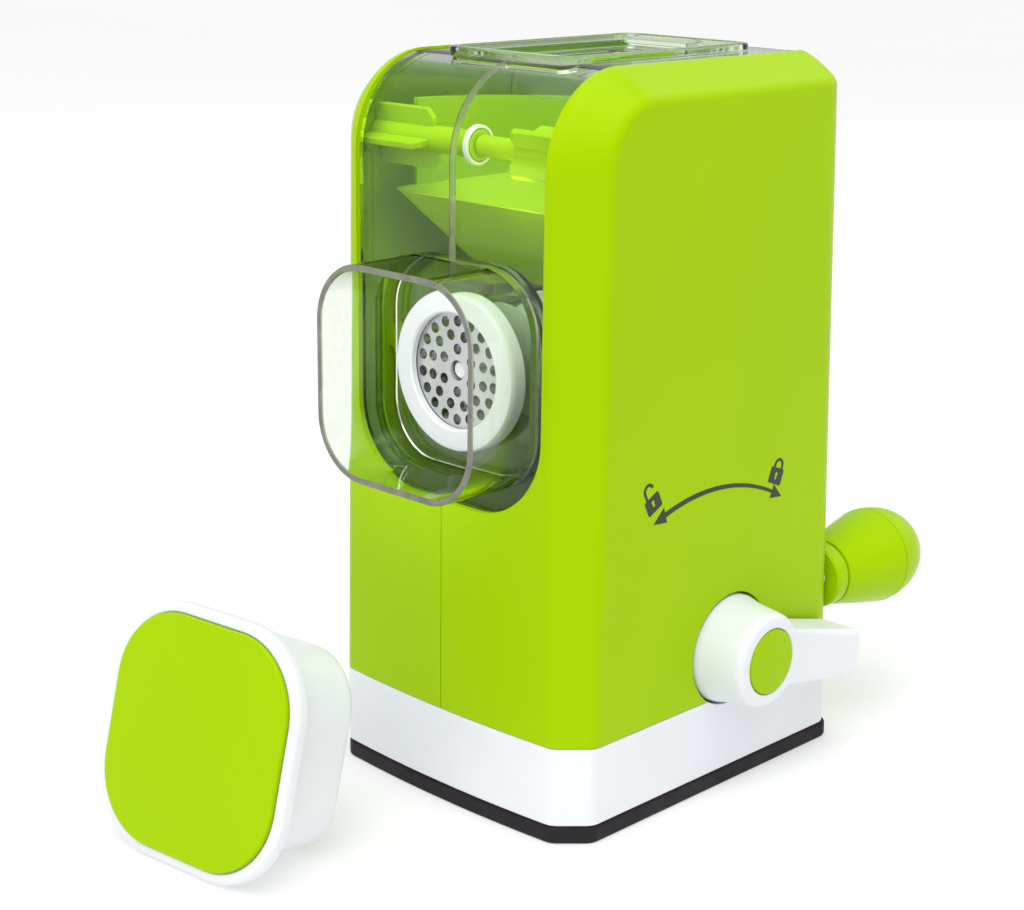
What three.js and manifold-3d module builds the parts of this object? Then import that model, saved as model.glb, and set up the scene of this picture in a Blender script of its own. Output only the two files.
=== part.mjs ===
// Hand crank meat grinder with a suction base, in millimetres, +Z up.
// +X is the side with the suction lever, -Y is the front with the outlet spout.
// The origin is the middle of the whole object's footprint, on the surface it stands on.

import * as THREE from 'three';
import { mergeVertices } from 'three/addons/utils/BufferGeometryUtils.js';
import { ConvexGeometry } from 'three/addons/geometries/ConvexGeometry.js';
import Module from 'manifold-3d';

const wasm = await Module();
wasm.setup();

// ---- driving dimensions -------------------------------------------------------------------

const ORIGIN = [7.15, -22]; // middle of the footprint, from the machine's own centre line
const GAP = 0.3; // running gap between neighbouring pieces
const WALL = 2.5; // casing wall

const HALF_WIDTH = 60; // casing, across X
const FRONT = 68.1; // casing front at its vertical edges
const CROWN = 3.3; // how far the front bulges at its middle
const BACK = 70.6; // casing back at the foot
const LEAN = 0.048; // the back leans forward by this much per mm of height
const HEIGHT = 252; // top of the casing
const EDGE_X = 50; // front bevel starts here at the foot,
const EDGE_X_TOP = 46; // and here near the top
const SIDE_FRONT = 58.8; // flat side face starts here at the foot,
const SIDE_FRONT_TOP = 57; // and here near the top
const SIDE_TOP = 243; // top of the flat side face
const CORNER_R = 32; // front top corner of the casing
const SIDE_CORNER_R = 20; // front top corner of the flat side face
const BACK_CORNER = 5; // rounding of the two rear vertical edges

const PAD_TOP = 6.2;
const PAD_LIP = 2.6; // the pad sticks out this far behind the base,
const PAD_CORNER = 6; // with rounder rear corners
const BASE_TOP = 34;
const FLOOR_LOW = 8.2; // base floor, underside
const FLOOR_TOP = 10.7;

const WINDOW_HALF = 43.4; // opening for the clear covers
const WINDOW_LOW = 108;
const WINDOW_R = 28;
const COVER_TOP = 251.4;
const COVER_FRONT = 68.1;
const COVER_WALL = 2.8;

const HOPPER_Y = 2.8; // middle of the hopper mouth
const HOPPER_HALF_X = 29.2;
const HOPPER_HALF_Y = 47;
const HOPPER_TOP = 253.8;
const HOPPER_R = 7;
const THROAT_HALF_X = 17;
const THROAT_HALF_Y = 24;
const AXIS_Z = 151.5; // auger and crank axis
const BARREL_R = 24;
const BARREL_BORE = 21.5;

const SPOUT_HALF = 36.6;
const SPOUT_R = 21;
const SPOUT_WALL = 2.2;
const SPOUT_FRONT = -93.5;
const SPOUT_BACK = -57.8;

const PADDLE_Y = -52;
const PADDLE_Z = 224;
const PADDLE_R = 10;

const LEVER_Y = 10.1; // suction lever axis
const LEVER_Z = 51;
const HUB_R = 19.3;
const LEVER_CAP_R = 11.5;
const CAM_R = 9;
const CAM_THROW = 2.06;
const DISC_R = 45;
const DISC_LOW = 4.5; // suction disc, lifted, as it is when locked

const CRANK_R = 103.9; // crank axis to knob axis
const KNOB_X = 50.5; // knob axis at rest
const KNOB_Z = AXIS_Z - Math.sqrt(CRANK_R ** 2 - KNOB_X ** 2);
const ARM_BACK = 69.6; // crank arm, side facing the casing
const ARM_THICK = 6.4;
const ARM_HUB_BACK = 68.5; // clear of the shaft bush
const KNOB_R = 18;

const CAP_PLATE_HALF = 38.2; // outlet cap, lying loose in front of the spout
const CAP_FLANGE_HALF = 42;
const CAP_PLUG_HALF = 34;
const CAP_FACE = 1.5; // from the face of the plate back to the flange,
const CAP_REAR = 6.5; // to the rear of the flange,
const CAP_DEPTH = 37; // and to the rear of the plug
const CAP_YAW = 5.7;
const CAP_CENTRE = [-21.5, -160.4];

// ---- materials ----------------------------------------------------------------------------

const plastic = (color, roughness) => new THREE.MeshStandardMaterial({ color, roughness, metalness: 0 });
const GREEN = plastic(0x9ec805, 0.3);
const WHITE = plastic(0xeef1f3, 0.35);
const RUBBER = plastic(0x2e272a, 0.7);
const CLEAR = new THREE.MeshStandardMaterial({
  color: 0xdfe8e0, roughness: 0.08, metalness: 0, transparent: true, opacity: 0.35,
});
const STEEL = new THREE.MeshStandardMaterial({ color: 0xb9bcc0, roughness: 0.3, metalness: 1 });

// ---- solids and booleans ------------------------------------------------------------------

function solid(geometry) {
  const bare = geometry.clone();
  bare.deleteAttribute('normal');
  bare.deleteAttribute('uv');
  const merged = mergeVertices(bare, 1e-4);
  const points = new Float32Array(merged.attributes.position.array);
  const triangles = new Uint32Array(merged.index.array);
  const made = new wasm.Manifold(new wasm.Mesh({ numProp: 3, vertProperties: points, triVerts: triangles }));
  if (made.volume() > 0) return made;
  for (let i = 0; i < triangles.length; i += 3) {
    [triangles[i], triangles[i + 1]] = [triangles[i + 1], triangles[i]];
  }
  return new wasm.Manifold(new wasm.Mesh({ numProp: 3, vertProperties: points, triVerts: triangles }));
}

const join = (...pieces) => pieces.reduce((whole, piece) => whole.add(piece));
const cut = (whole, ...tools) => tools.reduce((left, tool) => left.subtract(tool), whole);
const hull = (points) => solid(new ConvexGeometry(points.map((p) => new THREE.Vector3(...p))));

function block(x0, x1, y0, y1, z0, z1) {
  const box = new THREE.BoxGeometry(x1 - x0, y1 - y0, z1 - z0);
  return solid(box.translate((x0 + x1) / 2, (y0 + y1) / 2, (z0 + z1) / 2));
}

function extrude(shape, depth, columns, segments) {
  const geometry = new THREE.ExtrudeGeometry(shape, { depth, bevelEnabled: false, curveSegments: segments });
  return geometry.applyMatrix4(new THREE.Matrix4().makeBasis(...columns));
}

const X = new THREE.Vector3(1, 0, 0);
const Y = new THREE.Vector3(0, 1, 0);
const Z = new THREE.Vector3(0, 0, 1);

// A shape drawn in (y, z), (x, z) or (x, y), extruded between two values along the third axis.
function prismX(shape, x0, x1, segments = 6) {
  return solid(extrude(shape, x1 - x0, [Y, Z, X], segments).translate(x0, 0, 0));
}
function prismY(shape, y0, y1, segments = 6) {
  return solid(extrude(shape, y1 - y0, [X, Z, Y.clone().negate()], segments).translate(0, y1, 0));
}
function prismZ(shape, z0, z1, segments = 6) {
  return solid(extrude(shape, z1 - z0, [X, Y, Z], segments).translate(0, 0, z0));
}

// A profile of [radius, distance along the axis], turned about X, Y or Z through the given point.
function turned(profile, axis, [x, y, z], segments = 24) {
  const geometry = new THREE.LatheGeometry(profile.map(([r, h]) => new THREE.Vector2(r, h)), segments);
  if (axis === 'X') geometry.rotateZ(-Math.PI / 2);
  if (axis === 'Z') geometry.rotateX(Math.PI / 2);
  return solid(geometry.translate(x, y, z));
}
function rod(axis, radius, from, to, at, segments = 20) {
  return turned([[0, from], [radius, from], [radius, to], [0, to]], axis, at, segments);
}
function tube(axis, bore, radius, from, to, at, segments = 24) {
  const profile = [[bore, from], [radius, from], [radius, to], [bore, to], [bore, from]];
  return turned(profile, axis, at, segments);
}

function roundedRect(halfWidth, halfHeight, radius, cx = 0, cy = 0) {
  const shape = new THREE.Shape();
  const [w, h] = [halfWidth - radius, halfHeight - radius];
  const corners = [[w, -h, -0.5], [w, h, 0], [-w, h, 0.5], [-w, -h, 1]];
  for (const [x, y, turn] of corners) {
    shape.absarc(cx + x, cy + y, radius, turn * Math.PI, (turn + 0.5) * Math.PI);
  }
  shape.closePath();
  return shape;
}
function disc(radius, cx = 0, cy = 0) {
  return new THREE.Shape().absarc(cx, cy, radius, 0, 2 * Math.PI);
}
function polygon(points) {
  return new THREE.Shape(points.map(([x, y]) => new THREE.Vector2(x, y)));
}
function arc(cx, cy, radius, fromDegrees, toDegrees, steps) {
  const points = [];
  for (let i = 0; i <= steps; i += 1) {
    const angle = THREE.MathUtils.degToRad(fromDegrees + ((toDegrees - fromDegrees) * i) / steps);
    points.push([cx + radius * Math.cos(angle), cy + radius * Math.sin(angle)]);
  }
  return points;
}

// ---- the casing's outer form --------------------------------------------------------------

const frontAt = (x) => -(FRONT + CROWN * (1 - (x / HALF_WIDTH) ** 2));
const backAt = (z) => BACK - LEAN * z;
const CORNER_START = HEIGHT - CORNER_R;

// The casing's plan at one height, inset by a wall.
function plan(z, inset = 0) {
  const rise = THREE.MathUtils.clamp((z - BASE_TOP) / (CORNER_START - BASE_TOP), 0, 1);
  const edge = THREE.MathUtils.lerp(EDGE_X, EDGE_X_TOP, rise) - inset * 0.4;
  const side = HALF_WIDTH - inset;
  const back = backAt(z) - inset;
  const half = [
    [edge, frontAt(edge) + inset],
    [side, -THREE.MathUtils.lerp(SIDE_FRONT, SIDE_FRONT_TOP, rise) + inset * 0.4],
    [side, back - BACK_CORNER],
    [side - BACK_CORNER * 0.3, back - BACK_CORNER * 0.3],
    [side - BACK_CORNER, back],
  ];
  const crown = [0, 0.35, 0.7].map((t) => [edge * t, frontAt(edge * t) + inset]);
  return [...crown, ...half].flatMap(([x, y]) => [[x, y, z], [-x, y, z]]);
}

// The rounded top: one arc in the middle part, a smaller and lower one at the side faces.
function crownedTop(inset) {
  const points = [];
  const edge = EDGE_X_TOP - inset * 0.4;
  const top = HEIGHT - inset;
  for (const x of [-edge, -edge * 0.5, 0, edge * 0.5, edge]) {
    const radius = CORNER_R - inset;
    const curve = arc(frontAt(x) + inset + radius, top - radius, radius, 180, 90, 6);
    points.push(...curve.map(([y, z]) => [x, y, z]), [x, backAt(HEIGHT) - inset, top]);
  }
  const side = HALF_WIDTH - inset;
  const sideTop = SIDE_TOP - inset * 0.4;
  const sideFront = -SIDE_FRONT_TOP + inset * 0.4;
  const sideCurve = arc(sideFront + SIDE_CORNER_R, sideTop - SIDE_CORNER_R, SIDE_CORNER_R, 180, 90, 4);
  const sideBack = backAt(SIDE_TOP) - inset - BACK_CORNER;
  for (const x of [-side, side]) {
    points.push(...sideCurve.map(([y, z]) => [x, y, z]), [x, sideBack, sideTop]);
  }
  for (const x of [-side + BACK_CORNER, side - BACK_CORNER]) {
    points.push([x, backAt(SIDE_TOP) - inset, sideTop + 3.5]);
  }
  return points;
}

const casing = (z0, z1, inset = 0) => hull([...plan(z0, inset), ...plan(z1, inset)]);
function wholeCasing(z0, inset) {
  return hull([...plan(z0, inset), ...plan(CORNER_START, inset), ...crownedTop(inset)]);
}

// ---- base and suction ---------------------------------------------------------------------

const LEVER_AXIS = [0, LEVER_Y, LEVER_Z];
const DISC_AXIS = [0, LEVER_Y, 0];
const BASE_SCREWS = [[-44, -50], [44, -50], [-44, 52], [44, 52]];
const POST_R = 5;

function suctionPad() {
  const [side, back] = [HALF_WIDTH - PAD_CORNER, BACK + PAD_LIP - PAD_CORNER];
  const rear = arc(side, back, PAD_CORNER, 0, 90, 4).flatMap(([x, y]) => [
    [x, y, 0], [-x, y, 0], [x, y, PAD_TOP], [-x, y, PAD_TOP],
  ]);
  const outer = hull([...plan(0), ...plan(PAD_TOP), ...rear]);
  return cut(outer, rod('Z', DISC_R + 1, -1, 9, DISC_AXIS, 36));
}

function suctionDisc() {
  const profile = [
    [0, DISC_LOW], [DISC_R - 5, DISC_LOW], [DISC_R, DISC_LOW], [DISC_R, DISC_LOW + 1.6],
    [DISC_R - 8, DISC_LOW + 3], [9.5, DISC_LOW + 3], [9.5, 15], [4.3, 15], [4.3, 9.5], [0, 9.5],
  ];
  return turned(profile, 'Z', DISC_AXIS, 36);
}

function baseHousing() {
  let base = cut(casing(PAD_TOP + GAP, BASE_TOP), casing(FLOOR_TOP, BASE_TOP + 2, WALL));
  base = cut(base, casing(PAD_TOP, FLOOR_LOW, WALL));
  for (const [x, y] of BASE_SCREWS) {
    const at = [x, y, 0];
    base = base.add(rod('Z', POST_R, FLOOR_LOW + 1, BASE_TOP - 0.4, at, 12));
    base = cut(base, rod('Z', 1.9, 0, BASE_TOP + 1, at, 8), rod('Z', 3.6, 0, FLOOR_LOW + 3, at, 10));
  }
  const bossHole = rod('Z', 10.3, 0, 20, DISC_AXIS, 24);
  const leverNotch = rod('X', HUB_R + 1, 50, 70, LEVER_AXIS, 32);
  return cut(base, bossHole, leverNotch);
}

const baseScrew = (x, y) => join(
  rod('Z', 3.2, FLOOR_LOW + 0.6, FLOOR_LOW + 2.7, [x, y, 0], 10),
  rod('Z', 1.5, FLOOR_LOW + 2, BASE_TOP + 12, [x, y, 0], 8),
);

const STUD_TOP = 40.5; // ends inside the bottom bar of the yoke
function pullStud() {
  return join(
    rod('Z', 4, 10, STUD_TOP, DISC_AXIS, 12),
    rod('Z', 8, 16, 18, DISC_AXIS, 16),
  );
}

// A frame around the cam: the cam turns inside it and lifts it.
const YOKE_Z = LEVER_Z + CAM_THROW;
function camYoke() {
  const around = (halfX, halfY, below, above) => block(
    -halfX, halfX, LEVER_Y - halfY, LEVER_Y + halfY, YOKE_Z - below, YOKE_Z + above,
  );
  const frame = around(4.5, 14.2, 17, 13);
  const slot = around(9, CAM_R + CAM_THROW + 0.6, CAM_R + 0.75, CAM_R + 0.75);
  return cut(frame, slot, rod('Z', 4.2, 30, STUD_TOP + 0.5, DISC_AXIS, 12));
}

function camShaft() {
  const shaft = rod('X', 4.8, -25, 68, LEVER_AXIS, 16);
  return shaft.add(rod('X', CAM_R, -4.5, 4.5, [0, LEVER_Y, YOKE_Z], 28));
}

function camBracket() {
  let bracket = block(-30, 30, LEVER_Y - 17, LEVER_Y + 17, FLOOR_TOP + GAP, FLOOR_TOP + 3);
  for (const x of [-22, 19]) {
    const outline = polygon([
      [LEVER_Y - 15, FLOOR_TOP + 2], [LEVER_Y + 15, FLOOR_TOP + 2], ...arc(LEVER_Y, LEVER_Z, 10, 0, 180, 8),
    ]);
    bracket = bracket.add(prismX(outline, x, x + 3));
  }
  const bore = rod('X', 5.1, -30, 30, LEVER_AXIS, 16);
  const bossHole = rod('Z', 10.3, 0, 20, DISC_AXIS, 24);
  return cut(bracket, bore, bossHole);
}

function suctionLever() {
  const hubProfile = [
    [5.1, 51], [HUB_R, 51], [HUB_R, 60], [HUB_R - 1.3, 65], [16.9, 74.5], [16.2, 76.8], [15.2, 78],
    [LEVER_CAP_R + GAP, 78], [LEVER_CAP_R + GAP, 76], [0, 76], [0, 68.5], [5.1, 68.5], [5.1, 51],
  ];
  const hub = turned(hubProfile, 'X', LEVER_AXIS, 36);
  // The arm runs back from the hub and droops a little; its front edges are bevelled.
  const section = (y, low, high, bevel) => [
    [62, y, low], [62, y, high], [78 - bevel, y, high],
    [78, y, high - bevel], [78, y, low + 1.2], [76.8, y, low],
  ];
  const arm = hull([
    ...section(LEVER_Y + 5, 39.8, 61.4, 0.8),
    ...section(61.2, 32.2, 49.3, 1.9),
    ...section(62.2, 33.2, 48.3, 2.2),
  ]);
  return hub.add(cut(arm, rod('X', 14, 55, 90, LEVER_AXIS, 32)));
}

function leverCap() {
  const profile = [
    [0, 76.3], [LEVER_CAP_R, 76.3], [LEVER_CAP_R, 78.2], [LEVER_CAP_R - 0.6, 78.6], [0, 78.6],
  ];
  return turned(profile, 'X', LEVER_AXIS, 32);
}

// ---- casing shells ------------------------------------------------------------------------

const SHELL_SCREWS = [[-50, 54], [-50, 94], [50, 56], [50.3, 214]]; // (y, z), screws lie along X
const BUSH_AXIS = [0, 0, AXIS_Z];
const PADDLE_AXIS = [0, PADDLE_Y, PADDLE_Z];
const IN_WALL = HALF_WIDTH - WALL + 1; // ribs and posts end inside the side wall
const SEAM = 0.3; // between the two halves

function windowOpening(margin) {
  const half = WINDOW_HALF + margin;
  const low = WINDOW_LOW - margin;
  const radius = WINDOW_R + margin;
  const outline = polygon([
    [half, 300], [-half, 300],
    ...arc(-half + radius, low + radius, radius, 180, 270, 6),
    ...arc(half - radius, low + radius, radius, 270, 360, 6),
  ]);
  return prismY(outline, -90, -40);
}

function shell(side) {
  const outer = wholeCasing(BASE_TOP + GAP, 0);
  let body = cut(outer, wholeCasing(BASE_TOP - 5, WALL), windowOpening(0));
  body = cut(body, block(-WINDOW_HALF, WINDOW_HALF, -64, 80, HEIGHT - 7, HEIGHT + 7));
  body = body.add(tube('X', 3.1, 7, 50, IN_WALL, PADDLE_AXIS, 16));
  for (const [y, z] of SHELL_SCREWS) {
    body = body.add(rod('X', 5.5, 0, IN_WALL, [0, y, z], 12));
    body = cut(body, rod('X', side > 0 ? 1.6 : 1.9, -1, side > 0 ? 14 : 8, [0, y, z], 8));
    if (side < 0) body = cut(body, rod('X', 3.9, 8, 70, [0, y, z], 12));
  }
  for (const [x, y] of BASE_SCREWS.filter(([across]) => across > 0)) {
    body = body.add(rod('Z', POST_R, BASE_TOP + GAP, 60, [x, y, 0], 12));
    body = body.add(block(x, IN_WALL, y - 1.2, y + 1.2, BASE_TOP + 2, 60));
    body = cut(body, rod('Z', 1.8, 0, 52, [x, y, 0], 8));
  }
  for (const y of [-41, 31]) {
    body = body.add(block(BARREL_R + 0.6, IN_WALL, y - 1.5, y + 1.5, AXIS_Z - 4.5, AXIS_Z + 4.5));
  }
  if (side > 0) body = cut(body, rod('X', HUB_R + 1, 50, 70, LEVER_AXIS, 32));
  body = cut(body, rod('Y', 10.4, 40, 80, BUSH_AXIS, 24), block(-80, SEAM / 2, -90, 90, 0, 300));
  body = body.intersect(outer);
  return side > 0 ? body : body.scale([-1, 1, 1]);
}

const shellScrew = (y, z) => join(
  rod('X', 3.4, -11, -8.4, [0, y, z], 10),
  rod('X', 1.3, -9, 11, [0, y, z], 8),
);

// ---- clear covers, hopper and outlet ------------------------------------------------------

function coverSlab(offset, thickness, half, margin, back) {
  const radius = CORNER_R - 0.5 - offset;
  const [front, top] = [-COVER_FRONT + offset, COVER_TOP - offset];
  const outer = arc(front + radius, top - radius, radius, 180, 90, 8);
  const inner = arc(front + radius, top - radius, radius - thickness, 90, 180, 8);
  const low = WINDOW_LOW - 8;
  const outline = polygon([
    [front, low], ...outer, [back, top], [back, top - thickness], ...inner, [front + thickness, low],
  ]);
  const lowerPart = block(-100, 100, -90, -30, low - 5, WINDOW_LOW + WINDOW_R);
  return cut(prismX(outline, SEAM / 2, half), cut(lowerPart, windowOpening(margin)));
}

function cover(side) {
  const back = backAt(COVER_TOP) - 0.6;
  let piece = coverSlab(0, COVER_WALL, WINDOW_HALF - GAP, -GAP, back);
  piece = piece.add(coverSlab(2.3, 1.8, WINDOW_HALF + 1.4, 1.4, back - 4));
  const [mouthX, mouthY, mouthR] = [HOPPER_HALF_X, HOPPER_HALF_Y, HOPPER_R].map((reach) => reach - 1.5);
  const mouth = prismZ(roundedRect(mouthX, mouthY, mouthR, 0, HOPPER_Y), 200, 260, 4);
  const outlet = prismY(roundedRect(SPOUT_HALF + GAP, SPOUT_HALF + GAP, SPOUT_R, 0, AXIS_Z), -80, -55, 5);
  piece = cut(piece, mouth, outlet);
  return side > 0 ? piece : piece.scale([-1, 1, 1]);
}

// A low rim on the covers, with a sunk floor and a throat that leads down into the funnel.
function hopperTray() {
  const ring = (outer, bore, z0, z1) => {
    const shape = roundedRect(...outer, 0, HOPPER_Y);
    shape.holes.push(roundedRect(...bore, 0, HOPPER_Y));
    return prismZ(shape, z0, z1, 4);
  };
  const grown = (outline, by) => outline.map((reach) => reach + by);
  const rim = [HOPPER_HALF_X, HOPPER_HALF_Y, HOPPER_R]; // half width, half length, corner radius
  const inside = grown(rim, -3.6);
  const throat = [THROAT_HALF_X, THROAT_HALF_Y, 3];
  return join(
    ring(rim, inside, COVER_TOP + GAP, HOPPER_TOP),
    ring(grown(rim, -1.5 - GAP), inside, 247, HOPPER_TOP - 0.5),
    ring(grown(inside, 1), throat, 247, 249.2),
    ring(grown(throat, 1.8), throat, 238, 248),
  );
}

const FUNNEL_TOP = 206;
const FUNNEL_LOW = 178;
const SLOT = { x: 14, front: -32, back: 26 }; // feed slot in the top of the barrel
function feedFunnel() {
  const ring = (hx, y0, y1, z) => [[-hx, y0, z], [hx, y0, z], [hx, y1, z], [-hx, y1, z]];
  const { x, front, back } = SLOT;
  const outer = hull([
    ...ring(44, -55, 44, FUNNEL_TOP), ...ring(x + 3, front - 3, back + 3, FUNNEL_LOW),
  ]);
  const inner = hull([
    ...ring(42, -53, 42, FUNNEL_TOP + 0.1), ...ring(x, front, back, FUNNEL_LOW - 0.1),
  ]);
  const skirt = cut(
    block(-44, 44, -41.5, 44, FUNNEL_TOP, 235),
    block(-42, 42, -60, 42, FUNNEL_TOP - 1, 240),
  );
  return cut(outer, inner).add(skirt);
}

const BARREL_FRONT = -64.2;
const BARREL_REAR = 44;
function augerBarrel() {
  const collar = (grow, z0, z1) => block(
    -SLOT.x - grow, SLOT.x + grow, SLOT.front - grow, SLOT.back + grow, z0, z1,
  );
  const outside = join(
    rod('Y', BARREL_R, BARREL_FRONT, BARREL_REAR, BUSH_AXIS, 32),
    collar(2.5, AXIS_Z, FUNNEL_LOW - GAP),
  );
  const inside = join(
    rod('Y', BARREL_BORE, BARREL_FRONT - 1, BARREL_REAR - 3, BUSH_AXIS, 32),
    collar(0, AXIS_Z, FUNNEL_LOW + 12),
  );
  return cut(outside, inside, rod('Y', 8, 30, 60, BUSH_AXIS, 20));
}

function outletSpout() {
  const section = (inset) => roundedRect(
    SPOUT_HALF - inset, SPOUT_HALF - inset, SPOUT_R - inset, 0, AXIS_Z,
  );
  const outer = prismY(section(0), SPOUT_FRONT, SPOUT_BACK, 6);
  const hollow = prismY(section(SPOUT_WALL), SPOUT_FRONT - 1, SPOUT_BACK - SPOUT_WALL, 6);
  return cut(outer, hollow, rod('Y', BARREL_R + GAP, -70, -50, BUSH_AXIS, 32));
}

function outletRing() {
  const profile = [
    [19.5, -67], [25.6, -67], [27, -65.6], [27, -60.4], [BARREL_R + GAP, -60.4], [BARREL_R + GAP, -64.5],
    [19.5, -64.5], [19.5, -67],
  ];
  return turned(profile, 'Y', BUSH_AXIS, 36);
}

function grindingPlate() {
  const shape = disc(BARREL_BORE - GAP, 0, AXIS_Z);
  for (const [count, radius] of [[6, 7.2], [12, 12], [18, 16.6]]) {
    for (let i = 0; i < count; i += 1) {
      const angle = (2 * Math.PI * (i + 0.5)) / count;
      shape.holes.push(disc(1.8, radius * Math.cos(angle), AXIS_Z + radius * Math.sin(angle)));
    }
  }
  shape.holes.push(disc(3.4, 0, AXIS_Z));
  return prismY(shape, -64.2, -61.2, 4);
}

// ---- crank and auger ----------------------------------------------------------------------

function crossBlade() {
  const [front, rear] = [-60.9, -58.4];
  const reach = BARREL_BORE - 1.2;
  const blades = join(
    block(-3.2, 3.2, front, rear, AXIS_Z - reach, AXIS_Z + reach),
    block(-reach, reach, front, rear, AXIS_Z - 3.2, AXIS_Z + 3.2),
    rod('Y', 6.5, front, rear, BUSH_AXIS, 16),
  );
  return cut(blades, rod('Y', 3.3, -70, -50, BUSH_AXIS, 12));
}

// One flight wound round a tapering core, its pitch even along the barrel.
function auger() {
  const [front, rear] = [-57.9, 38];
  const turns = 3.2;
  const core = turned([[0, front], [6, front], [8.5, rear - 8], [8.5, rear], [0, rear]], 'Y', BUSH_AXIS, 16);
  const [root, reach] = [3, BARREL_BORE - 0.9];
  const flight = new THREE.BoxGeometry(reach - root, rear - front, 4.5, 1, 40, 1);
  flight.translate((reach + root) / 2, 0, 0);
  const position = flight.attributes.position;
  for (let i = 0; i < position.count; i += 1) {
    const angle = (2 * Math.PI * turns * position.getY(i)) / (rear - front);
    const [x, z] = [position.getX(i), position.getZ(i)];
    position.setXYZ(
      i,
      x * Math.cos(angle) + z * Math.sin(angle),
      position.getY(i) + (front + rear) / 2,
      z * Math.cos(angle) - x * Math.sin(angle) + AXIS_Z,
    );
  }
  const nose = rod('Y', 3, -63, front + 1, BUSH_AXIS, 12);
  return cut(join(core, solid(flight), nose), rod('Y', 5.3, 24, 50, BUSH_AXIS, 16));
}

const crankShaft = () => rod('Y', 5, 24.5, ARM_BACK + ARM_THICK + 4, BUSH_AXIS, 16);

function shaftBush() {
  const outerFace = backAt(AXIS_Z - 16) + GAP;
  const profile = [
    [5.3, 47], [10, 47], [10, outerFace], [16, outerFace + 0.9], [16, outerFace + 2.4],
    [14.5, outerFace + 3.6], [5.3, outerFace + 3.6], [5.3, 47],
  ];
  return turned(profile, 'Y', BUSH_AXIS, 28);
}

const KNOB_AXIS = [KNOB_X, 0, KNOB_Z];
const PIN_HEAD = ARM_BACK + 2.4; // seat of the pin's head, sunk in the arm
function crankArm() {
  const [y0, y1] = [ARM_BACK, ARM_BACK + ARM_THICK];
  const length = new THREE.Vector2(KNOB_X, KNOB_Z - AXIS_Z).normalize();
  const [nx, nz] = [-length.y, length.x];
  const strip = polygon([
    [nx * 9, AXIS_Z + nz * 9], [-nx * 9, AXIS_Z - nz * 9],
    [KNOB_X - nx * 7, KNOB_Z - nz * 7], [KNOB_X + nx * 7, KNOB_Z + nz * 7],
  ]);
  const arm = join(
    prismY(strip, y0, y1),
    rod('Y', 13, ARM_HUB_BACK, y1 + 1.5, BUSH_AXIS, 28),
    rod('Y', 12, y0, y1, KNOB_AXIS, 24),
  );
  const pinHole = rod('Y', 3.4, 60, 90, KNOB_AXIS, 12);
  const headRecess = rod('Y', 5.8, 60, PIN_HEAD, KNOB_AXIS, 14);
  return cut(arm, rod('Y', 5.3, 60, 90, BUSH_AXIS, 16), pinHole, headRecess);
}

const NUT_Y = ARM_BACK + ARM_THICK + 1.8;
const crankNut = () => cut(
  turned([[0, NUT_Y], [9, NUT_Y], [9, NUT_Y + 4], [6.5, NUT_Y + 7], [0, NUT_Y + 7]], 'Y', BUSH_AXIS, 6),
  rod('Y', 5.3, 70, NUT_Y + 2.6, BUSH_AXIS, 16),
);

const KNOB_START = ARM_BACK + ARM_THICK + 0.6;
const KNOB_SEAM = 104.5;
const KNOB_END = 127.8;
const knobPin = () => join(
  rod('Y', 3.1, PIN_HEAD - 1, KNOB_SEAM - 5, KNOB_AXIS, 12),
  rod('Y', 6, KNOB_SEAM - 5.5, KNOB_SEAM - 2.5, KNOB_AXIS, 14),
  rod('Y', 5.5, ARM_BACK + GAP, PIN_HEAD - GAP, KNOB_AXIS, 14),
);
function crankKnob() {
  const flare = [0, 0.25, 0.5, 0.75, 1].map((t) => {
    const y = THREE.MathUtils.lerp(KNOB_START, KNOB_SEAM, t);
    return [THREE.MathUtils.lerp(12.4, KNOB_R, t * (1.15 - 0.15 * t)), y];
  });
  const headRoom = KNOB_SEAM - 6.1;
  const profile = [
    [3.5, KNOB_START], ...flare, [7, KNOB_SEAM], [7, headRoom], [3.5, headRoom], [3.5, KNOB_START],
  ];
  return turned(profile, 'Y', KNOB_AXIS, 32);
}
function knobEndCap() {
  const foot = KNOB_SEAM + GAP;
  const dome = arc(0, 0, 1, 0, 75, 5).map(([c, s]) => [KNOB_R * c, foot + (KNOB_END - foot) * s]);
  return turned([[0, foot], ...dome, [0, KNOB_END]], 'Y', KNOB_AXIS, 32);
}

// ---- feed paddle --------------------------------------------------------------------------

function paddle(shaft, x0, x1, turn) {
  let made = shaft;
  for (const angle of [turn, turn + 90]) {
    const fin = block(x0, x1, -PADDLE_R, PADDLE_R, -1.1, 1.1).rotate([angle, 0, 0]);
    made = made.add(fin.translate(PADDLE_AXIS));
  }
  return cut(made, rod('X', 2.3, -60, 60, PADDLE_AXIS, 12));
}
const leftShaft = () => join(
  rod('X', 4.4, -49, -0.6, PADDLE_AXIS, 16),
  rod('X', 5, -3.2, -0.6, PADDLE_AXIS, 16),
);
const rightShaft = () => rod('X', 3.4, -0.2, 49, PADDLE_AXIS, 16);
const paddleAxle = () => rod('X', 2, -56.5, 56.5, PADDLE_AXIS, 12);
const paddleCollar = () => tube('X', 5.3, 6.4, -3, -0.8, PADDLE_AXIS, 24);

// ---- outlet cap, in its own frame: its face looks along -Y and is centred on the origin ---

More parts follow.
